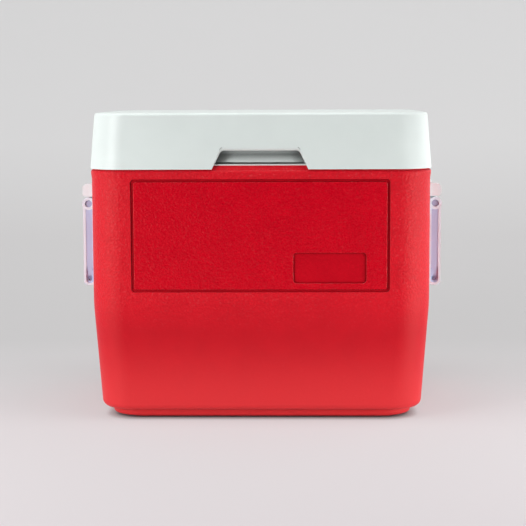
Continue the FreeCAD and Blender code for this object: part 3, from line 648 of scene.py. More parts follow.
def plated_steel():
    """Steel with a thin bright plating: soft metallic gloss with a fine crystalline break-up."""
    material, tree, place = start_material("Steel, bright zinc plated")
    spangle = noise(tree, place, 0.0007, detail=3.0, roughness=0.7)
    zinc = linear("#C9CBCE")
    body = ramp(tree, spangle, shades(0.3, 0.7, [channel * 0.82 for channel in zinc], zinc))
    return end_material(material, tree, {"Base Color": body, "Metallic": 1.0,
                        "Roughness": remap(tree, spangle, 0.3, 0.7, 0.26, 0.42),
                        "Normal": bump(tree, spangle, 0.15, 0.00002)})


def rigid_foam():
    """Rigid polyurethane foam, poured: cream, matt and full of closed cells of about 1 mm."""
    cream = sizes("finishes").foam_cream
    material, tree, place = start_material("Polyurethane foam, poured rigid, cream")
    bubbles = cells(tree, place, 0.0011)
    body = ramp(tree, bubbles, shades(0.1, 0.7, [channel * 0.75 for channel in cream], cream))
    return end_material(material, tree, {"Base Color": body, "Roughness": 0.9, "IOR": 1.45,
                        "Normal": bump(tree, bubbles, 0.8, 0.0004)})


MATERIALS = {}


def material_for(slot):
    """The material of one of the record's slots, made the first time that it is asked for."""
    look = sizes("finishes")
    makers = {
        "shell_red": lambda: grained_polypropylene(
            "Polypropylene, leather-grain moulded, red", look.tub_roughness, 1.0),
        "panel": lambda: grained_polypropylene(
            "Polypropylene, close-grain moulded, red", look.panel_roughness, 0.8,
            crown_glint=0.02, light=0.89, sheen=0.38),
        # The cuts' red is dimmed and shaded in its corners. In the groove this is painted shade, and in
        # the badge field it is partly the field's own darker red.
        "groove": lambda: grained_polypropylene(
            "Polypropylene, shade-painted cuts, red", 0.42, 0.5,
            crown_glint=0, light=0.82, sheen=0.22, shade=1.5),
        # The web's darker, cooler white paints shade in the arms' recesses.
        "web": lambda: satin_white_plastic(
            "Polypropylene, thin moulded web, cool white", look.web_shade_white, 0.33),
        "bracket": lambda: satin_white_plastic(
            "Polypropylene, injection moulded, white", look.bracket_white, 0.33),
        # The lid's material paints shade into its deep corners, most of all in the finger pocket.
        "lid_white": lambda: satin_white_plastic(
            "Polypropylene, satin moulded, white", look.lid_white, look.lid_roughness,
            0.010, 0.00006, shade=2.5),
        "liner_white": lambda: satin_white_plastic(
            "Polystyrene, gloss vacuum-formed, white", look.liner_white, 0.24, 0.030, 0.00012),
        "handle_white": lambda: satin_white_plastic(
            "Polypropylene, injection moulded, cool white", look.handle_white, 0.33),
        "pin_grey": moulded_acetal,
        "screw_steel": plated_steel,
        "foam": rigid_foam,
    }
    if slot not in MATERIALS:
        MATERIALS[slot] = makers[slot]()
    return MATERIALS[slot]


def hand_over(piece, body, slot, *nodes, finished=None):
    """Finishes a piece, puts it on its body, and lets it stand for its CAD nodes."""
    finish(piece, material_for(finished or slot))
    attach(piece, body)
    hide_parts(*nodes)


# ---- Pieces -------------------------------------------------------------------------------------
def wall_halves(inset=0.0):
    """Half the tub's width and depth at its walls, less an inset."""
    inset += sizes("tub").bead_proud
    return TUB_HIGH.x - inset, -TUB_LOW.y - inset


def shape_tub(piece, size, half_x, half_y):
    """The outer walls: taper, crease, bead and bottom edge."""
    bottom = size.plinth_height
    bead_low = SHOULDER - size.bead_height - size.bead_blend / 4
    bead_high = bead_low + size.bead_blend
    with shaping(piece):
        for height in (size.crease_height, bead_low, bead_high):
            cut_level((0, 0, height), Z)
        draw_in(piece, lambda vertex: vertex.co.z < bottom + TOUCH, half_x, half_y, size.bottom_inset)
        draw_in(piece, lambda vertex: vertex.co.z > bead_high - TOUCH, half_x, half_y, -size.bead_proud)
        round_edges(piece, size.crease_softness, 6, lambda edge: all_at(edge, 2, size.crease_height))
        round_edges(piece, size.bead_blend * 0.4, 4,
                    lambda edge: all_at(edge, 2, bead_low) or all_at(edge, 2, bead_high))
        round_edges(piece, size.bottom_edge, 7, lambda edge: all_at(edge, 2, bottom))
        round_edges(piece, size.bead_edge, 4, lambda edge: all_at(edge, 2, SHOULDER))


def raise_neck(piece, size):
    """Steps the top in to the neck, then opens the tub and draws the inner walls down."""
    wall = size.wall
    half_x, half_y = wall_halves()
    inner_x, inner_y = half_x - wall, half_y - wall
    neck_x, neck_y = inner_x - size.neck_setback, inner_y - size.neck_setback
    low_x = inner_x - size.bottom_inset
    low_y = inner_y - size.bottom_inset
    floor = size.plinth_height + wall
    with shaping(piece):
        pick(piece, "FACE", lambda face: all_at(face, 2, SHOULDER) and len(face.verts) > 8)
        extrude(0, 0, size.neck_height)
        rounding = size.bead_edge - size.bead_proud
        resize((neck_x + wall) / (half_x - rounding), (neck_y + wall) / (half_y - rounding))
        bpy.ops.mesh.inset(thickness=wall, depth=0)
        steps = (
            (SHOULDER - wall, 1, 1),
            (SHOULDER - wall, inner_x / neck_x, inner_y / neck_y),
            (size.crease_height, 1, 1),
            (floor, low_x / inner_x, low_y / inner_y),
            (floor, (low_x - size.plinth_step) / low_x, (low_y - size.plinth_step) / low_y),
            (wall, 1, 1),
        )
        height = SHOULDER + size.neck_height
        for level, factor_x, factor_y in steps:
            extrude(0, 0, level - height)
            resize(factor_x, factor_y)
            height = level


def flared_slab(name, x_range, z_range, front, depth, corner, edge, flare, overrun=OVERRUN):
    """A slab that cuts into the front wall; its mouth flares, so the cut's edges are round."""
    cutter = slab(name, x_range, (front + edge, front + depth), z_range, corner)
    middle = Vector((sum(x_range) / 2, 0, sum(z_range) / 2))
    half_x, half_z = (x_range[1] - x_range[0]) / 2, (z_range[1] - z_range[0]) / 2
    steps = 5
    with shaping(cutter):
        pick(cutter, "FACE", lambda face: face.normal.y < -0.999)
        before = 0
        for step in range(1, steps + 1):
            turn = math.radians(90) * step / steps
            earlier = math.radians(90) * (step - 1) / steps
            move = -edge * (math.sin(turn) - math.sin(earlier))
            reach = flare * edge * (1 - math.cos(turn))
            extrude(0, move, 0)
            resize((half_x + reach) / (half_x + before), 1, (half_z + reach) / (half_z + before), middle)
            before = reach
        extrude(0, -overrun, 0)
    return cutter


def groove_cutter(size, front):
    """A ring that cuts the panel's groove."""
    half, width = size.panel_width / 2, size.groove_width
    top = SHOULDER - size.panel_drop
    low = top - size.panel_height
    ring = flared_slab("Groove cutter", (-half, half), (low, top), front, size.groove_depth,
                       size.panel_corner, size.moulded_edge, 1)
    island = flared_slab("Panel island", (width - half, half - width), (low + width, top - width),
                         front, size.groove_depth + OVERRUN, size.panel_corner - width / 2,
                         size.moulded_edge, -1, 2 * OVERRUN)
    cut(ring, island)
    return ring


def badge_cutter(size, front):
    """A slab that cuts the bare badge field."""
    right = size.panel_width / 2 - size.badge_side
    bottom = SHOULDER - size.panel_drop - size.panel_height + size.badge_bottom
    return flared_slab("Badge cutter", (right - size.badge_width, right),
                       (bottom, bottom + size.badge_height), front, size.badge_depth,
                       size.badge_corner, size.moulded_edge, 1)


def dress_panel(tub, size):
    """Gives the faces inside the groove their closer grain, and gives the cuts a dimmer red with painted
    shade.
    """
    middle = SHOULDER - size.panel_drop - size.panel_height / 2
    side = (size.panel_width - size.groove_width) / 2
    reach = (size.panel_height - size.groove_width) / 2
    front = TUB_LOW.y + size.bead_proud
    deepest = front + size.badge_depth + TOUCH
    floor = front + size.groove_depth - TOUCH
    for slot in ("panel", "groove"):
        tub.data.materials.append(material_for(slot))
    for face in tub.data.polygons:
        place, facing = face.center, face.normal
        corners = [tub.data.vertices[at].co for at in face.vertices]
        if place.y < 0 and facing.y < -0.2 and all(
                abs(corner.x) < side and abs(corner.z - middle) < reach for corner in corners):
            face.material_index = 1
        # The cuts' walls and floors get the dimmer red with painted shade in their corners. In the badge
        # field it is partly the field's own darker red.
        on_panel = abs(place.x) <= size.panel_width / 2 and abs(place.z - middle) <= size.panel_height / 2
        if on_panel and front + size.moulded_edge * 0.8 < place.y < deepest:
            if abs(facing.y) < 0.5 or place.y > floor:
                face.material_index = 2


def make_plinth(size, half_x, half_y):
    """The low foot that the tub stands on."""
    step = size.bottom_inset + size.plinth_step
    foot_x, foot_y = half_x - step, half_y - step
    plinth = rounded_block("Plinth", foot_x, foot_y, 0, size.plinth_height + 2 * ROOT,
                           size.plinth_corner)
    with shaping(plinth):
        cut_level((0, 0, size.plinth_lift), Z)
        draw_in(plinth, lambda vertex: vertex.co.z < TOUCH, foot_x, foot_y, size.plinth_tuck)
        round_edges(plinth, size.plinth_edge, 5, lambda edge: all_at(edge, 2, size.plinth_lift))
    return plinth


class COOLER_OT_tub(bpy.types.Operator):
    """Builds the grained tub with its plinth, panel groove and bare badge field"""

    bl_idname = "cooler.tub"
    bl_label = "Tub"

    def execute(self, context):
        size = sizes("tub")
        half_x, half_y = wall_halves()
        tub = rounded_block("tub", half_x, half_y, size.plinth_height, SHOULDER, size.corner_radius,
                            size.corner_steps)
        shape_tub(tub, size, half_x, half_y)
        unite(tub, make_plinth(size, half_x, half_y))
        raise_neck(tub, size)
        cut(tub, groove_cutter(size, -half_y), badge_cutter(size, -half_y))
        port_low, port_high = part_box("foam_port_plug")
        port_at = (port_low + port_high) / 2
        below = (port_at.x, port_at.y, -OVERRUN)
        recess, ledge = 0.0016, 0.0028
        # The plug's head lies on a ledge in a shallow recess round the filling port.
        for radius, reach in ((port_high.x + FIT, OVERRUN + recess),
                              (port_high.x - ledge, 2 * OVERRUN + size.wall)):
            cut(tub, add_rod("Port cutter", below, 2, radius, reach, around=48))
        hand_over(tub, "cooler_body", "shell_red", "body_shell")
        dress_panel(tub, size)
        return {"FINISHED"}


class COOLER_OT_tub_liner(bpy.types.Operator):
    """Builds the white liner with its storage cavity and its flange"""

    bl_idname = "cooler.tub_liner"
    bl_label = "Tub liner"

    def execute(self, context):
        size = sizes("liner")
        half_x, half_y = wall_halves(size.insulation)
        top = SHOULDER + sizes("tub").neck_height + size.flange
        bottom = LINER_LOW.z
        lean = math.tan(size.draft)

        def bowl(name, growth, low, high):
            reach_x, reach_y = half_x + growth, half_y + growth
            piece = rounded_block(name, reach_x, reach_y, low, top, size.corner_radius + growth, 14)
            inset = (top - low) * lean
            with shaping(piece):
                draw_in(piece, lambda vertex: vertex.co.z < low + TOUCH, reach_x, reach_y, inset)
                round_edges(piece, size.floor_radius + growth, 8, lambda edge: all_at(edge, 2, low))
                pick(piece, "VERT", lambda vertex: vertex.co.z > top - TOUCH)
                bpy.ops.transform.translate(value=(0, 0, high - top))
            return piece

        liner = rounded_block("tub_liner", LINER_HIGH.x, LINER_HIGH.y, top - size.flange, top,
                              size.flange_corner)
        unite(liner, bowl("Bowl", size.wall, bottom, top - size.flange / 2))
        cut(liner, bowl("Cavity", 0, bottom + size.wall, top + OVERRUN))
        with shaping(liner):
            round_edges(liner, size.lip, 3, lambda edge: all_at(edge, 2, top)
                        and edge.calc_face_angle(0) > math.radians(60))
        hand_over(liner, "cooler_body", "liner_white", "body_liner")
        return {"FINISHED"}


def notch_block(name, size, growth, bottom, y_range, radius):
    """The finger notch's trapezium, wider at its foot, run from front to back."""
    top = LID_LOW.z + size.notch_height + growth
    lean = (size.notch_bottom - size.notch_top) / 2 / size.notch_height
    side = growth * math.hypot(1, lean)
    top_half = size.notch_top / 2 + side - growth * lean
    foot_half = top_half + (top - bottom) * lean
    piece = add_block(name, (-top_half, y_range[0], bottom), (top_half, y_range[1], top))
    with shaping(piece):
        spread(piece, lambda vertex: vertex.co.z < bottom + TOUCH, foot_half / top_half, 1)
        round_edges(piece, radius, 6, lambda edge: runs(edge, 1) and all_at(edge, 2, top))
    return piece


def pocket_cutter(size, front, back, lean):
    """Cuts the finger pocket and leaves a rolled lip over its mouth."""
    bottom, top = LID_LOW.z, LID_LOW.z + size.notch_height
    radius = size.notch_lip
    mouth = front + (size.notch_height + radius) * lean
    half = size.notch_top / 2
    growth = (size.notch_bottom - size.notch_top) / 2 / size.notch_height * (top - bottom + OVERRUN)
    cutter = add_block("Pocket", (-half, front - OVERRUN, bottom - OVERRUN), (half, back, top))
    steps = [radius * share for share in (0, 0.05, 0.15, 0.3, 0.5, 0.75, 1)]
    with shaping(cutter):
        for step in steps:
            cut_level((0, mouth + step, 0), Y)
        spread(cutter, lambda vertex: vertex.co.z < bottom, (half + growth) / half, 1)
        # The rear wall leans forward to its foot, under a cove.
        pick(cutter, "VERT", lambda vertex: vertex.co.z < bottom and vertex.co.y > back - TOUCH)
        bpy.ops.transform.translate(value=(0, -size.pocket_lean, 0))
        round_edges(cutter, size.pocket_cove, 6,
                    lambda edge: all_at(edge, 1, back) and all_at(edge, 2, top))
        for step in [front - OVERRUN - mouth] + steps[:-1]:
            rise = radius - math.sqrt(radius ** 2 - (radius - max(step, 0)) ** 2)
            pick(cutter, "VERT", lambda vertex: abs(vertex.co.z - top) < TOUCH
                 and abs(vertex.co.y - mouth - step) < TOUCH)
            bpy.ops.transform.translate(value=(0, 0, rise))
        round_edges(cutter, size.notch_corner, 6,
                    lambda edge: all(vertex.co.z > top - TOUCH for vertex in edge.verts)
                    and abs(edge.verts[0].co.y - edge.verts[1].co.y) > TOUCH)
    return cutter


class COOLER_OT_lid(bpy.types.Operator):
    """Builds the white lid with its drafted skirt and finger notch"""

    bl_idname = "cooler.lid"
    bl_label = "Lid"

    def execute(self, context):
        size = sizes("lid")
        half_x, half_y = LID_HIGH.x, -LID_LOW.y
        bottom, top = LID_LOW.z, LID_HIGH.z
        lean = math.tan(size.draft)
        narrowing = (top - bottom) * lean
        lid = rounded_block("lid", half_x, half_y, bottom, top, size.corner_radius, 20)
        inner_top = top - size.wall
        inner_drop = (inner_top - bottom) * lean
        inner_x, inner_y = half_x - size.wall, half_y - size.wall
        with shaping(lid):
            draw_in(lid, lambda vertex: vertex.co.z > top - TOUCH, half_x, half_y, narrowing)
            round_edges(lid, size.top_edge, 6, lambda edge: all_at(edge, 2, top))
            pick(lid, "FACE", lambda face: all_at(face, 2, bottom))
            bpy.ops.mesh.inset(thickness=size.wall, depth=0)
            extrude(0, 0, inner_top - bottom)
            resize((inner_x - inner_drop) / inner_x, (inner_y - inner_drop) / inner_y)
        back = -half_y + size.pocket_depth
        inside_skirt = -half_y + 0.003
        trough = notch_block("Trough", size, size.pocket_wall, LID_LINER_LOW.z + size.plug_depth,
                             (inside_skirt, back + size.pocket_wall),
                             size.notch_corner + size.pocket_wall)
        unite(lid, trough)
        cut(lid, pocket_cutter(size, -half_y, back, lean))
        merge_close(lid)
        with shaping(lid):

            def on_skirt(vertex):
                wall_y = -half_y + (vertex.co.z - bottom) * lean
                beside = abs(vertex.co.x) < size.notch_bottom / 2 + TOUCH
                return beside and abs(vertex.co.y - wall_y) < 2 * TOUCH

            round_edges(lid, size.notch_side, 4,
                        lambda edge: all(on_skirt(vertex) for vertex in edge.verts)
                        and edge.is_manifold and edge.calc_face_angle() > math.radians(40)
                        and not all_at(edge, 2, bottom))
        hand_over(lid, "lid", "lid_white", "lid_shell")
        return {"FINISHED"}


class COOLER_OT_lid_liner(bpy.types.Operator):
    """Builds the lid's underside with the plug that fits into the cavity"""

    bl_idname = "cooler.lid_liner"
    bl_label = "Lid liner"

    def execute(self, context):
        size = sizes("lid")
        lean = math.tan(size.draft)
        rim_low = LID_LINER_LOW.z + size.plug_depth
        rim_high = rim_low + size.rim
        half_x, half_y = LID_LINER_HIGH.x, LID_LINER_HIGH.y
        narrowing = size.rim * lean
        liner = rounded_block("lid_liner_panel", half_x, half_y, rim_low, rim_high,
                              size.corner_radius - size.wall, 18)
        plug_x, plug_y = wall_halves(size.plug_inset)
        bottom = LID_LINER_LOW.z
        plug_sink, pocket_room = 0.0004, 0.03
        plug = rounded_block("Plug", plug_x, plug_y, bottom, rim_high - plug_sink, size.plug_corner, 14)
        with shaping(liner):
            draw_in(liner, lambda vertex: vertex.co.z > rim_high - TOUCH, half_x, half_y, narrowing)
        with shaping(plug):
            round_edges(plug, size.plug_edge, 6, lambda edge: all_at(edge, 2, bottom))
        unite(liner, plug)
        front = LID_LOW.y
        pocket = notch_block("Pocket room", size, size.pocket_wall + FIT, rim_low - pocket_room,
                             (front - OVERRUN, front + size.pocket_depth + size.pocket_wall + FIT),
                             size.notch_corner + size.pocket_wall)
        cut(liner, pocket)
        hand_over(liner, "lid", "liner_white", "lid_liner")
        return {"FINISHED"}


def make_arm(size, x_range, y_range, bottom):
    """One arm: a block with a recessed outer face, and the eye round the pivot."""
    top = SWING_AT.z - size.arm_drop
    arm = add_block("Arm", (x_range[0], y_range[0], bottom), (x_range[1], y_range[1], top))
    with shaping(arm):
        for x, radius in ((x_range[1], size.outer_corner), (x_range[0], size.inner_corner)):
            round_edges(arm, radius, 6, lambda edge, x=x: runs(edge, 1) and all_at(edge, 2, bottom)
                        and all_at(edge, 0, x))
        pick(arm, "FACE", lambda face: faces_way(face, -Y))
        bpy.ops.mesh.inset(thickness=size.arm_rim, depth=0)
        extrude(0, size.arm_recess, 0)
    eye = add_rod("Eye", (SWING_AT.x, y_range[0], SWING_AT.z), 1, size.eye, y_range[1] - y_range[0], 40)
    unite(arm, eye)
    return arm


def make_handle(size):
    """The right-hand handle: two arms joined by a hollow grip."""
    x_range = (SWING_AT.x - size.inboard, SWING_AT.x + size.outboard)
    front = BAIL_LOW.y
    bottom = BAIL_LOW.z
    handle = make_arm(size, x_range, (front, front + size.arm), bottom)
    rear_arm = mirrored_copy(handle, "Rear arm", 1)
    grip = add_block("Grip", (x_range[0], front + size.arm_recess, bottom),
                     (x_range[1], -front - size.arm_recess, bottom + size.grip_height))
    with shaping(grip):
        round_edges(grip, size.inner_corner, 6, lambda edge: runs(edge, 1))
    unite(handle, grip, rear_arm)
    middle = sum(x_range) / 2
    crown = bottom + size.grip_height - 2 * size.grip_wall
    hollow_corner = size.inner_corner - 0.0007
    boss_height = 0.0022
    for side in (-1, 1):
        outer = side * -front
        web = outer - side * size.arm_recess
        floor = web - side * size.grip_hollow
        low_y, high_y = sorted((outer + side * OVERRUN, floor))
        hollow = slab("Hollow", (x_range[0] + size.grip_wall, x_range[1] - size.grip_wall),
                      (low_y, high_y),
                      (bottom + size.grip_wall, bottom + size.grip_height - size.grip_wall),
                      hollow_corner)
        cut(handle, hollow)
        boss = add_rod("Boss", (middle, floor - side * ROOT, crown), 1, size.grip_boss,
                       side * boss_height, 24)
        unite(handle, boss)
        mouth = outer + side * OVERRUN
        bore = add_rod("Bore", (middle, mouth, bottom + 2 * size.grip_wall + size.grip_bore), 1,
                       size.grip_bore, floor - side * size.grip_bore_depth - mouth, 24)
        cut(handle, bore)
        seat = add_rod("Head seat", (SWING_AT.x, mouth, SWING_AT.z), 1, size.eye_recess,
                       -side * (OVERRUN + size.eye_depth), 32)
        cut(handle, seat)
    bore = add_rod("Pin bore", (SWING_AT.x, front - OVERRUN, SWING_AT.z), 1, size.pin + PIN_PLAY,
                   2 * (OVERRUN - front), 32)
    cut(handle, bore)
    merge_close(handle)
    soften(handle, size.soft_edge)
    return handle


def dress_webs(handle, size):
    """Gives the webs in the arms' recesses a darker, cooler white, which paints the recesses' shade."""
    handle.data.materials.append(material_for("web"))
    web = -BAIL_LOW.y - size.arm_recess
    behind = 0.007
    for face in handle.data.polygons:
        place, outwards = face.center, face.normal.y
        if abs(outwards) > 0.9 and web - behind < abs(place.y) < web + FIT:
            if place.y * outwards > 0 and place.z < SWING_AT.z - size.eye:
                face.material_index = 1


class COOLER_OT_handles(bpy.types.Operator):
    """Builds the two swinging carrying handles"""

    bl_idname = "cooler.handles"
    bl_label = "Handles"

    def execute(self, context):
        right = make_handle(sizes("handle"))
        right.name = "right_carrying_handle"
        left = mirrored_copy(right, "left_carrying_handle", 0)
        hand_over(right, "right_bail", "handle_white", "right_handle")
        hand_over(left, "left_bail", "handle_white", "left_handle")
        for piece in (right, left):
            dress_webs(piece, sizes("handle"))
        return {"FINISHED"}


def make_bracket(size):
    """The right-hand bracket: plate, two hoods with their lugs, and the rail between them."""
    low, high = PLATE_LOW, PLATE_HIGH
    wall = low.x
    bracket = add_block("Bracket", (wall, low.y, low.z), (wall + size.plate, high.y, high.z))
    with shaping(bracket):
        round_edges(bracket, size.plate_corner, 6, lambda edge: runs(edge, 0))
    arm_outer = -BAIL_LOW.y
    lug_outer = arm_outer - size.arm - size.lug_gap
    lug_inner = lug_outer - size.lug
    hood_reach = wall + size.hood_reach
    hood_low = high.z - size.hood_thick
    for side in (-1, 1):
        y_low, y_high = sorted((side * (arm_outer + size.hood_margin), side * lug_inner))
        hood = add_block("Hood", (wall, y_low, hood_low), (hood_reach, y_high, high.z))
        with shaping(hood):
            for level, radius in ((high.z, size.hood_edge), (hood_low, size.hood_under)):
                round_edges(hood, radius, 6, lambda edge, z=level: runs(edge, 1)
                            and all_at(edge, 2, z) and all_at(edge, 0, hood_reach))
        y_low, y_high = sorted((side * lug_outer, side * lug_inner))
        lug = add_block("Lug", (wall, y_low, SWING_AT.z - size.eye),
                        (SWING_AT.x, y_high, hood_low + ROOT))
        nose = add_rod("Nose", (SWING_AT.x, y_low, SWING_AT.z), 1, size.eye, y_high - y_low, 40)
        unite(lug, nose)
        unite(bracket, hood, lug)
    rail = add_block("Rail", (wall, -lug_inner - ROOT, high.z - size.rail_thick),
                     (wall + size.rail_reach, lug_inner + ROOT, high.z))
    unite(bracket, rail)
    merge_close(bracket)
    soften(bracket, size.soft_edge)
    return bracket


class COOLER_OT_brackets(bpy.types.Operator):
    """Builds the two hooded brackets that carry the handles"""

    bl_idname = "cooler.brackets"
    bl_label = "Brackets"

    def execute(self, context):
        right = make_bracket(sizes("handle"))
        right.name = "right_hooded_bracket"
        left = mirrored_copy(right, "left_hooded_bracket", 0)
        for side, piece in (("right", right), ("left", left)):
            hand_over(piece, "cooler_body", "handle_white", side + "_handle_bracket", finished="bracket")
        return {"FINISHED"}


class COOLER_OT_pivot_pins(bpy.types.Operator):
    """Builds the four headed pins that the handles swing on"""

    bl_idname = "cooler.pivot_pins"
    bl_label = "Pivot pins"

    def execute(self, context):
        size = sizes("handle")
        head_at = (SWING_AT.x, PIN_LOW.y, SWING_AT.z)
        head_rounding, tip_rounding = 0.0006, 0.0005
        pin = add_rod("Pin", head_at, 1, size.pin_head, size.pin_head_thick, 40)
        with shaping(pin):
            round_edges(pin, head_rounding, 4, lambda edge: all_at(edge, 1, PIN_LOW.y))
            pick(pin, "FACE", lambda face: faces_way(face, Y))
            bpy.ops.mesh.inset(thickness=size.pin_head - size.pin, depth=0)
            shank = PIN_HIGH.y - PIN_LOW.y - size.pin_head_thick
            extrude(0, shank, 0)
            round_edges(pin, tip_rounding, 2, lambda edge: all_at(edge, 1, PIN_HIGH.y))
        places = {"right_front": pin}
        places["right_rear"] = mirrored_copy(pin, "Rear pin", 1)
        places["left_front"] = mirrored_copy(pin, "Left pin", 0)
        places["left_rear"] = mirrored_copy(places["right_rear"], "Left rear pin", 0)
        for place, piece in places.items():
            side, end = place.split("_")
            piece.name = f"{side}_{end}_swing_pin"
            hand_over(piece, "cooler_body", "pin_grey", f"{side}_pivot_pin_{end}")
        return {"FINISHED"}


def make_screw(size):
    """A pan-head screw along +Z with a cross recess; its head's seat is at the origin."""
    screw = add_rod("Screw", (0, 0, 0), 2, size.head, size.head_thick, 32)
    with shaping(screw):
        round_edges(screw, size.head_crown, 4, lambda edge: all_at(edge, 2, size.head_thick))
        pick(screw, "FACE", lambda face: faces_way(face, -Z))
        bpy.ops.mesh.inset(thickness=size.head - size.shank, depth=0)
        extrude(0, 0, -size.depth)
    half, reach = size.recess_width / 2, size.recess_length / 2
    low, high = size.head_thick - size.recess_depth, size.head_thick + OVERRUN
    cross = add_block("Cross", (-half, -reach, low), (half, reach, high))
    unite(cross, add_block("Cross arm", (-reach, -half, low), (reach, half, high)))
    cut(screw, cross)
    return screw


def seated_screw(screw, name, seat, direction, turn):
    """A copy of the screw, its head's seat at a point and its head towards a direction."""
    copy = own_copy(screw, name)
    copy.rotation_mode = "QUATERNION"
    upright = Vector(direction).to_track_quat("Z", "Y")
    copy.rotation_quaternion = upright @ Quaternion(Z, math.radians(turn))
    copy.location = seat
    choose(copy)
    bpy.ops.object.transform_apply(location=True, rotation=True, scale=True)
    return copy


def joined(name, pieces):
    choose(*pieces)
    bpy.ops.object.join()
    piece = bpy.context.active_object
    piece.name = name
    piece.data.name = name
    return piece


class COOLER_OT_screws(bpy.types.Operator):
    """Builds the screws of the brackets and hinges, one piece for each group"""

    bl_idname = "cooler.screws"
    bl_label = "Screws"

    def execute(self, context):
        size = sizes("screw")
        pattern = make_screw(size)
        # Each screw has stopped at its own angle, in degrees.
        turn, next_turn = 17, 37
        lid_lean = 4.5
        for side, sign in SIDES:
            low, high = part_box(side + "_bracket_screws")
            outer = high.x if sign > 0 else low.x
            seat_x = outer - sign * size.head_thick
            group = []
            for y in (low.y + size.head, high.y - size.head):
                for z in (low.z + size.head, high.z - size.head):
                    turn += next_turn
                    group.append(seated_screw(pattern, "Screw", (seat_x, y, z), (sign, 0, 0), turn))
            piece = joined(side + "_bracket_screw_set", group)
            hand_over(piece, "cooler_body", "screw_steel", side + "_bracket_screws")
            for leaf, body, lean in (("body", "cooler_body", 0.0), ("lid", "lid", lid_lean)):
                node = f"{side}_hinge_{leaf}_screws"
                low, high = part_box(node)
                way = Vector((0, math.cos(math.radians(lean)), math.sin(math.radians(lean))))
                group = []
                for x in (low.x + size.head, high.x - size.head):
                    # The head's rim sets the box's rear and lower corner, or its top where it leans.
                    crown = Vector((x, high.y, (low.z + high.z) / 2))
                    if lean:
                        crown.z = high.z - size.head * math.cos(math.radians(lean))
                        crown.y = high.y - size.head * math.sin(math.radians(lean))
                    turn += next_turn
                    seat = crown - way * size.head_thick
                    group.append(seated_screw(pattern, "Screw", seat, way, turn))
                piece = joined(f"{side}_hinge_{leaf}_screw_set", group)
                hand_over(piece, body, "screw_steel", node)
        bpy.data.objects.remove(pattern, do_unlink=True)
        return {"FINISHED"}


class COOLER_OT_hinges(bpy.types.Operator):
    """Rounds the moulded hinge leaves and their pins"""

    bl_idname = "cooler.hinges"
    bl_label = "Hinges"

    def execute(self, context):
        for side, _ in SIDES:
            for leaf, body in (("body", "cooler_body"), ("lid", "lid")):
                node = f"{side}_hinge_{leaf}_leaf"
                piece = softened_copy(f"{side}_moulded_{leaf}_leaf", node, width=0.0005)
                hand_over(piece, body, "handle_white", node, finished="bracket")
            node = side + "_hinge_pin"
            piece = softened_copy(side + "_hinge_axle", node, width=0.0004)
            hand_over(piece, "cooler_body", "screw_steel", node)
        return {"FINISHED"}


class COOLER_OT_filling(bpy.types.Operator):
    """Finishes the foam fillings and the plug of the filling port"""

    bl_idname = "cooler.filling"
    bl_label = "Filling"

    def execute(self, context):
        plug = softened_copy("filling_port_plug", "foam_port_plug", width=0.0006)
        hand_over(plug, "cooler_body", "handle_white", "foam_port_plug")
        for node in ("body_foam", "lid_foam"):
            slots = frame["nodes"][node].data.materials
            slots.clear()
            slots.append(material_for("foam"))
        return {"FINISHED"}


# ---- Stage --------------------------------------------------------------------------------------
CAMERA_AT = (0.0367, -1.8495, 0.3836)
CAMERA_DOWN = 6.576       # degrees below level
CAMERA_TURN = 1.132       # degrees towards the left
CAMERA_ROLL = -0.21       # degrees about the line of sight
LENS = 101.09             # millimetres, on a 36 mm sensor
SENSOR = 36.0
# Name, place, target, size and power of each lamp.
MIDDLE = (0, 0, 0.20)
LAMPS = (
    ("Left wall", (-0.95, 0.55, 0.92), (0, 0.55, 0.92), (1.6, 1.8), 2.8),
    ("Right wall", (0.95, 0.55, 0.92), (0, 0.55, 0.92), (1.6, 1.8), 7.0),
    ("Left front strip", (-1.05, -1.05, 0.60), MIDDLE, (0.5, 1.1), 13.1),
    ("Right front strip", (1.05, -1.05, 0.60), MIDDLE, (0.5, 1.1), 2.4),
    ("Left low strip", (-0.75, -0.40, 0.15), (0, 0, 0.12), (0.5, 0.26), 0.8),
    ("Right low strip", (0.75, -0.40, 0.15), (0, 0, 0.12), (0.5, 0.26), 2.9),
    ("Top middle panel", (0, -0.25, 1.70), (0, -0.25, 0), (2.0, 0.5), 18.5),
)
AIR, AIR_TINT = 0.02, (0.95, 0.96, 1.0, 1)     # the faint light from all round
# The paper's glowing greys, painted light and shade of the light's fall-off, at steps of its run
# from front to back, and the room's beyond it.  Past the PAPER_ASIDE and PAPER_AHEAD ranges, the paper
# shows its own grey alone.
PAPER_FROM, PAPER_TO = -1.20, 1.55
PAPER_ASIDE, PAPER_AHEAD = (0.62, 0.85), (-0.56, -0.66)
PAPER_GREYS = (
    (0.00, "#E3E2E2"), (0.13, "#E2E0E1"), (0.22, "#E3DADD"), (0.39, "#E0DADC"), (0.476, "#D7D5D6"),
    (0.594, "#CFCECE"), (0.765, "#D6D5D5"), (0.859, "#E7E7E7"), (1.00, "#E9E9E9"),
)
ROOM_GREY = "#E5E4E4"
# The paper's glow fades beside the object: a painted contact shadow.
HEM_REACH, HEM_POWER = 0.012, 1.1     # how far and how fast the paper darkens beside the object


def add_camera():
    data = bpy.data.cameras.new("Studio camera")
    camera = bpy.data.objects.new("Studio camera", data)
    bpy.context.scene.collection.objects.link(camera)
    data.lens = LENS
    data.sensor_width = SENSOR
    data.clip_end = 50
    camera.location = CAMERA_AT
    camera.rotation_mode = "QUATERNION"
    aim = Euler((math.radians(90 - CAMERA_DOWN), 0, math.radians(CAMERA_TURN)))
    camera.rotation_quaternion = aim.to_quaternion() @ Quaternion(Z, math.radians(CAMERA_ROLL))
    bpy.context.scene.camera = camera


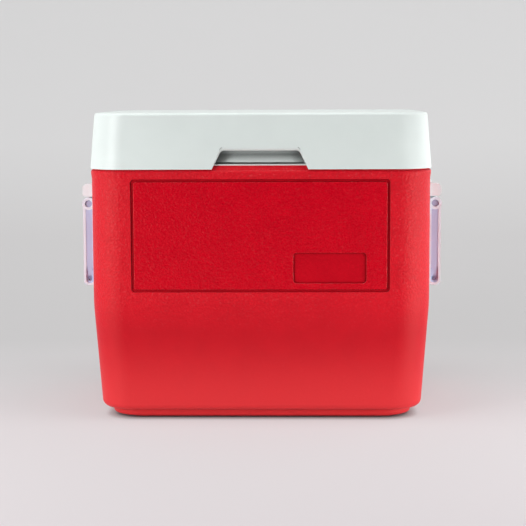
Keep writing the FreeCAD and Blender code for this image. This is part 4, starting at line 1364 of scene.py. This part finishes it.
def add_softbox(name, place, target, width, height, power):
    """A rectangular lamp aimed at a point."""
    data = bpy.data.lights.new(name, "AREA")
    data.shape = "RECTANGLE"
    data.size = width
    data.size_y = height
    data.energy = power
    lamp = bpy.data.objects.new(name, data)
    bpy.context.scene.collection.objects.link(lamp)
    lamp.location = place
    lamp.rotation_mode = "QUATERNION"
    lamp.rotation_quaternion = (Vector(target) - Vector(place)).to_track_quat("-Z", "Y")
    lamp.visible_camera = False


def seen_directly(tree):
    """1 for what the camera sees straight, in a reflection or through a clear surface, otherwise 0."""
    rays = add_node(tree, "ShaderNodeLightPath").outputs
    either = math_node(tree, "MAXIMUM", rays["Is Camera Ray"], rays["Is Glossy Ray"])
    return math_node(tree, "MAXIMUM", either, rays["Is Transmission Ray"])


def backdrop_paint():
    """Matt studio paper which takes a soft shadow, and glows in greys graded from front to back: painted
    light and shade of the light's fall-off.
    """
    look = sizes("finishes")
    material, tree, place = start_material("Studio paper, matt, graded grey")
    fibre = noise(tree, place, 0.4)
    tone = look.floor_grey
    body = ramp(tree, fibre, shades(0.3, 0.7, [channel * 0.985 for channel in tone], tone))
    end_material(material, tree, {"Base Color": body, "Roughness": 0.9, "Specular IOR Level": 0.1})
    paper = tree.nodes["Principled BSDF"].outputs["BSDF"]
    across, depth, _ = axes(tree, place)
    along = remap(tree, depth, PAPER_FROM, PAPER_TO)
    graded = ramp(tree, along, [(at, (*linear(grey), 1)) for at, grey in PAPER_GREYS])
    # The painted glow fades out where ambient occlusion finds the object close by, which paints a contact
    # shadow.
    hemmed = add_node(tree, "ShaderNodeAmbientOcclusion", {"Distance": HEM_REACH}, samples=8)
    fade = math_node(tree, "POWER", hemmed.outputs["AO"], HEM_POWER)
    painted_glow = add_node(tree, "ShaderNodeEmission", {"Color": graded, "Strength": fade}).outputs["Emission"]
    # Away from the object, past its shadow, the paper shows its own grey alone.
    aside = remap(tree, math_node(tree, "ABSOLUTE", across, 0), *PAPER_ASIDE)
    away = math_node(tree, "MAXIMUM", aside, remap(tree, depth, *PAPER_AHEAD))
    own = product(tree, seen_directly(tree), remap(tree, away, 0.0, 1.0, look.paper_evenness, 1.0))
    front = add_node(tree, "ShaderNodeMixShader", {0: own, 1: paper, 2: painted_glow}).outputs["Shader"]
    # The back of the sheet is clear, so that it hides nothing from behind.
    behind = add_node(tree, "ShaderNodeNewGeometry").outputs["Backfacing"]
    clear = add_node(tree, "ShaderNodeBsdfTransparent").outputs["BSDF"]
    both = add_node(tree, "ShaderNodeMixShader", {0: behind, 1: front, 2: clear}).outputs["Shader"]
    tree.links.new(both, tree.nodes["Material Output"].inputs["Surface"])
    return material


def add_sheet(name, half, near, far, height, level=0.0):
    """A level sheet from near to far, with a wall of this height along its far edge."""
    bpy.ops.mesh.primitive_plane_add(size=1, location=(0, (near + far) / 2, level))
    bpy.context.active_object.scale = (2 * half, abs(far - near), 1)
    sheet = settle(name)
    with shaping(sheet):
        pick(sheet, "EDGE", lambda edge: all_at(edge, 1, far))
        extrude(0, 0, height)
    return sheet


def add_backdrop():
    """A floor that sweeps up into a wall, in one sheet."""
    back, sweep = 1.55, 1.15
    sheet = add_sheet("studio_sweep", half=4.0, near=-4.0, far=back, height=4.0)
    with shaping(sheet):
        round_edges(sheet, sweep, 24, lambda edge: all_at(edge, 1, back) and all_at(edge, 2, 0))
    choose(sheet)
    bpy.ops.object.shade_smooth()
    sheet.data.materials.append(backdrop_paint())


def add_flags():
    """Black cloth on the floor and on stands in front, which keeps the room out of the gloss."""
    half, far, wing = 2.2, -2.1, 1.2
    cloth = add_sheet("studio_flags", half, near=-0.66, far=far, height=2.6, level=0.020)
    with shaping(cloth):
        for side in (-half, half):
            pick(cloth, "EDGE", lambda edge, x=side: all_at(edge, 0, x) and all_at(edge, 1, far))
            extrude(0, wing, 0)
    material, tree, place = start_material("Duvetyne cloth, woven, black")
    nap = ramp(tree, noise(tree, place, 0.05), shades(0.3, 0.7, [0.004] * 3, [0.007] * 3))
    cloth.data.materials.append(end_material(material, tree, {"Base Color": nap, "Roughness": 1.0}))
    cloth.visible_camera = False
    cloth.visible_shadow = False


class COOLER_OT_stage(bpy.types.Operator):
    """Sets the floor, the backdrop, the soft lamps and the camera"""

    bl_idname = "cooler.stage"
    bl_label = "Stage"

    def execute(self, context):
        scene = context.scene
        scene.view_settings.view_transform = "Standard"
        add_camera()
        add_backdrop()
        add_flags()
        for name, place, target, across, power in LAMPS:
            add_softbox(name, place, target, *across, power)
        world = bpy.data.worlds.new("Studio air")
        scene.world = world
        world.use_nodes = True
        tree = world.node_tree
        dim = tree.nodes["Background"]
        dim.inputs["Color"].default_value = AIR_TINT
        dim.inputs["Strength"].default_value = AIR
        grey = (*linear(ROOM_GREY), 1)
        room = add_node(tree, "ShaderNodeBackground", {"Color": grey, "Strength": 1.0})
        both = add_node(tree, "ShaderNodeMixShader", {0: seen_directly(tree), 1: dim.outputs[0],
                        2: room.outputs[0]})
        tree.links.new(both.outputs[0], tree.nodes["World Output"].inputs["Surface"])
        return {"FINISHED"}


# ---- Add-on -------------------------------------------------------------------------------------
SIZE_GROUPS = {
    "tub": CoolerTubSizes,
    "liner": CoolerLinerSizes,
    "lid": CoolerLidSizes,
    "handle": CoolerHandleSizes,
    "screw": CoolerScrewSizes,
    "finishes": CoolerFinishes,
}
OPERATORS = (
    COOLER_OT_tub,
    COOLER_OT_tub_liner,
    COOLER_OT_lid,
    COOLER_OT_lid_liner,
    COOLER_OT_handles,
    COOLER_OT_brackets,
    COOLER_OT_pivot_pins,
    COOLER_OT_screws,
    COOLER_OT_hinges,
    COOLER_OT_filling,
    COOLER_OT_stage,
)


class COOLER_PT_builder(bpy.types.Panel):
    """Lists the cooler's pieces and their sizes"""

    bl_idname = "COOLER_PT_builder"
    bl_label = "Chest cooler"
    bl_space_type = "VIEW_3D"
    bl_region_type = "UI"
    bl_category = "Cooler"

    def draw(self, context):
        for operator in OPERATORS:
            self.layout.operator(operator.bl_idname)
        for part in SIZE_GROUPS:
            box = self.layout.box()
            box.label(text=part.title())
            for name in sizes(part).bl_rna.properties.keys():
                if name not in ("rna_type", "name"):
                    box.prop(sizes(part), name)


def register():
    for part, group in SIZE_GROUPS.items():
        bpy.utils.register_class(group)
        setattr(bpy.types.Scene, "cooler_" + part, PointerProperty(type=group))
    for operator in OPERATORS:
        bpy.utils.register_class(operator)
    bpy.utils.register_class(COOLER_PT_builder)


def unregister():
    bpy.utils.unregister_class(COOLER_PT_builder)
    for operator in reversed(OPERATORS):
        bpy.utils.unregister_class(operator)
    for part, group in SIZE_GROUPS.items():
        delattr(bpy.types.Scene, "cooler_" + part)
        bpy.utils.unregister_class(group)


def main():
    register()
    for operator in OPERATORS:
        group, name = operator.bl_idname.split(".")
        getattr(getattr(bpy.ops, group), name)()


if __name__ == "__main__":
    main()
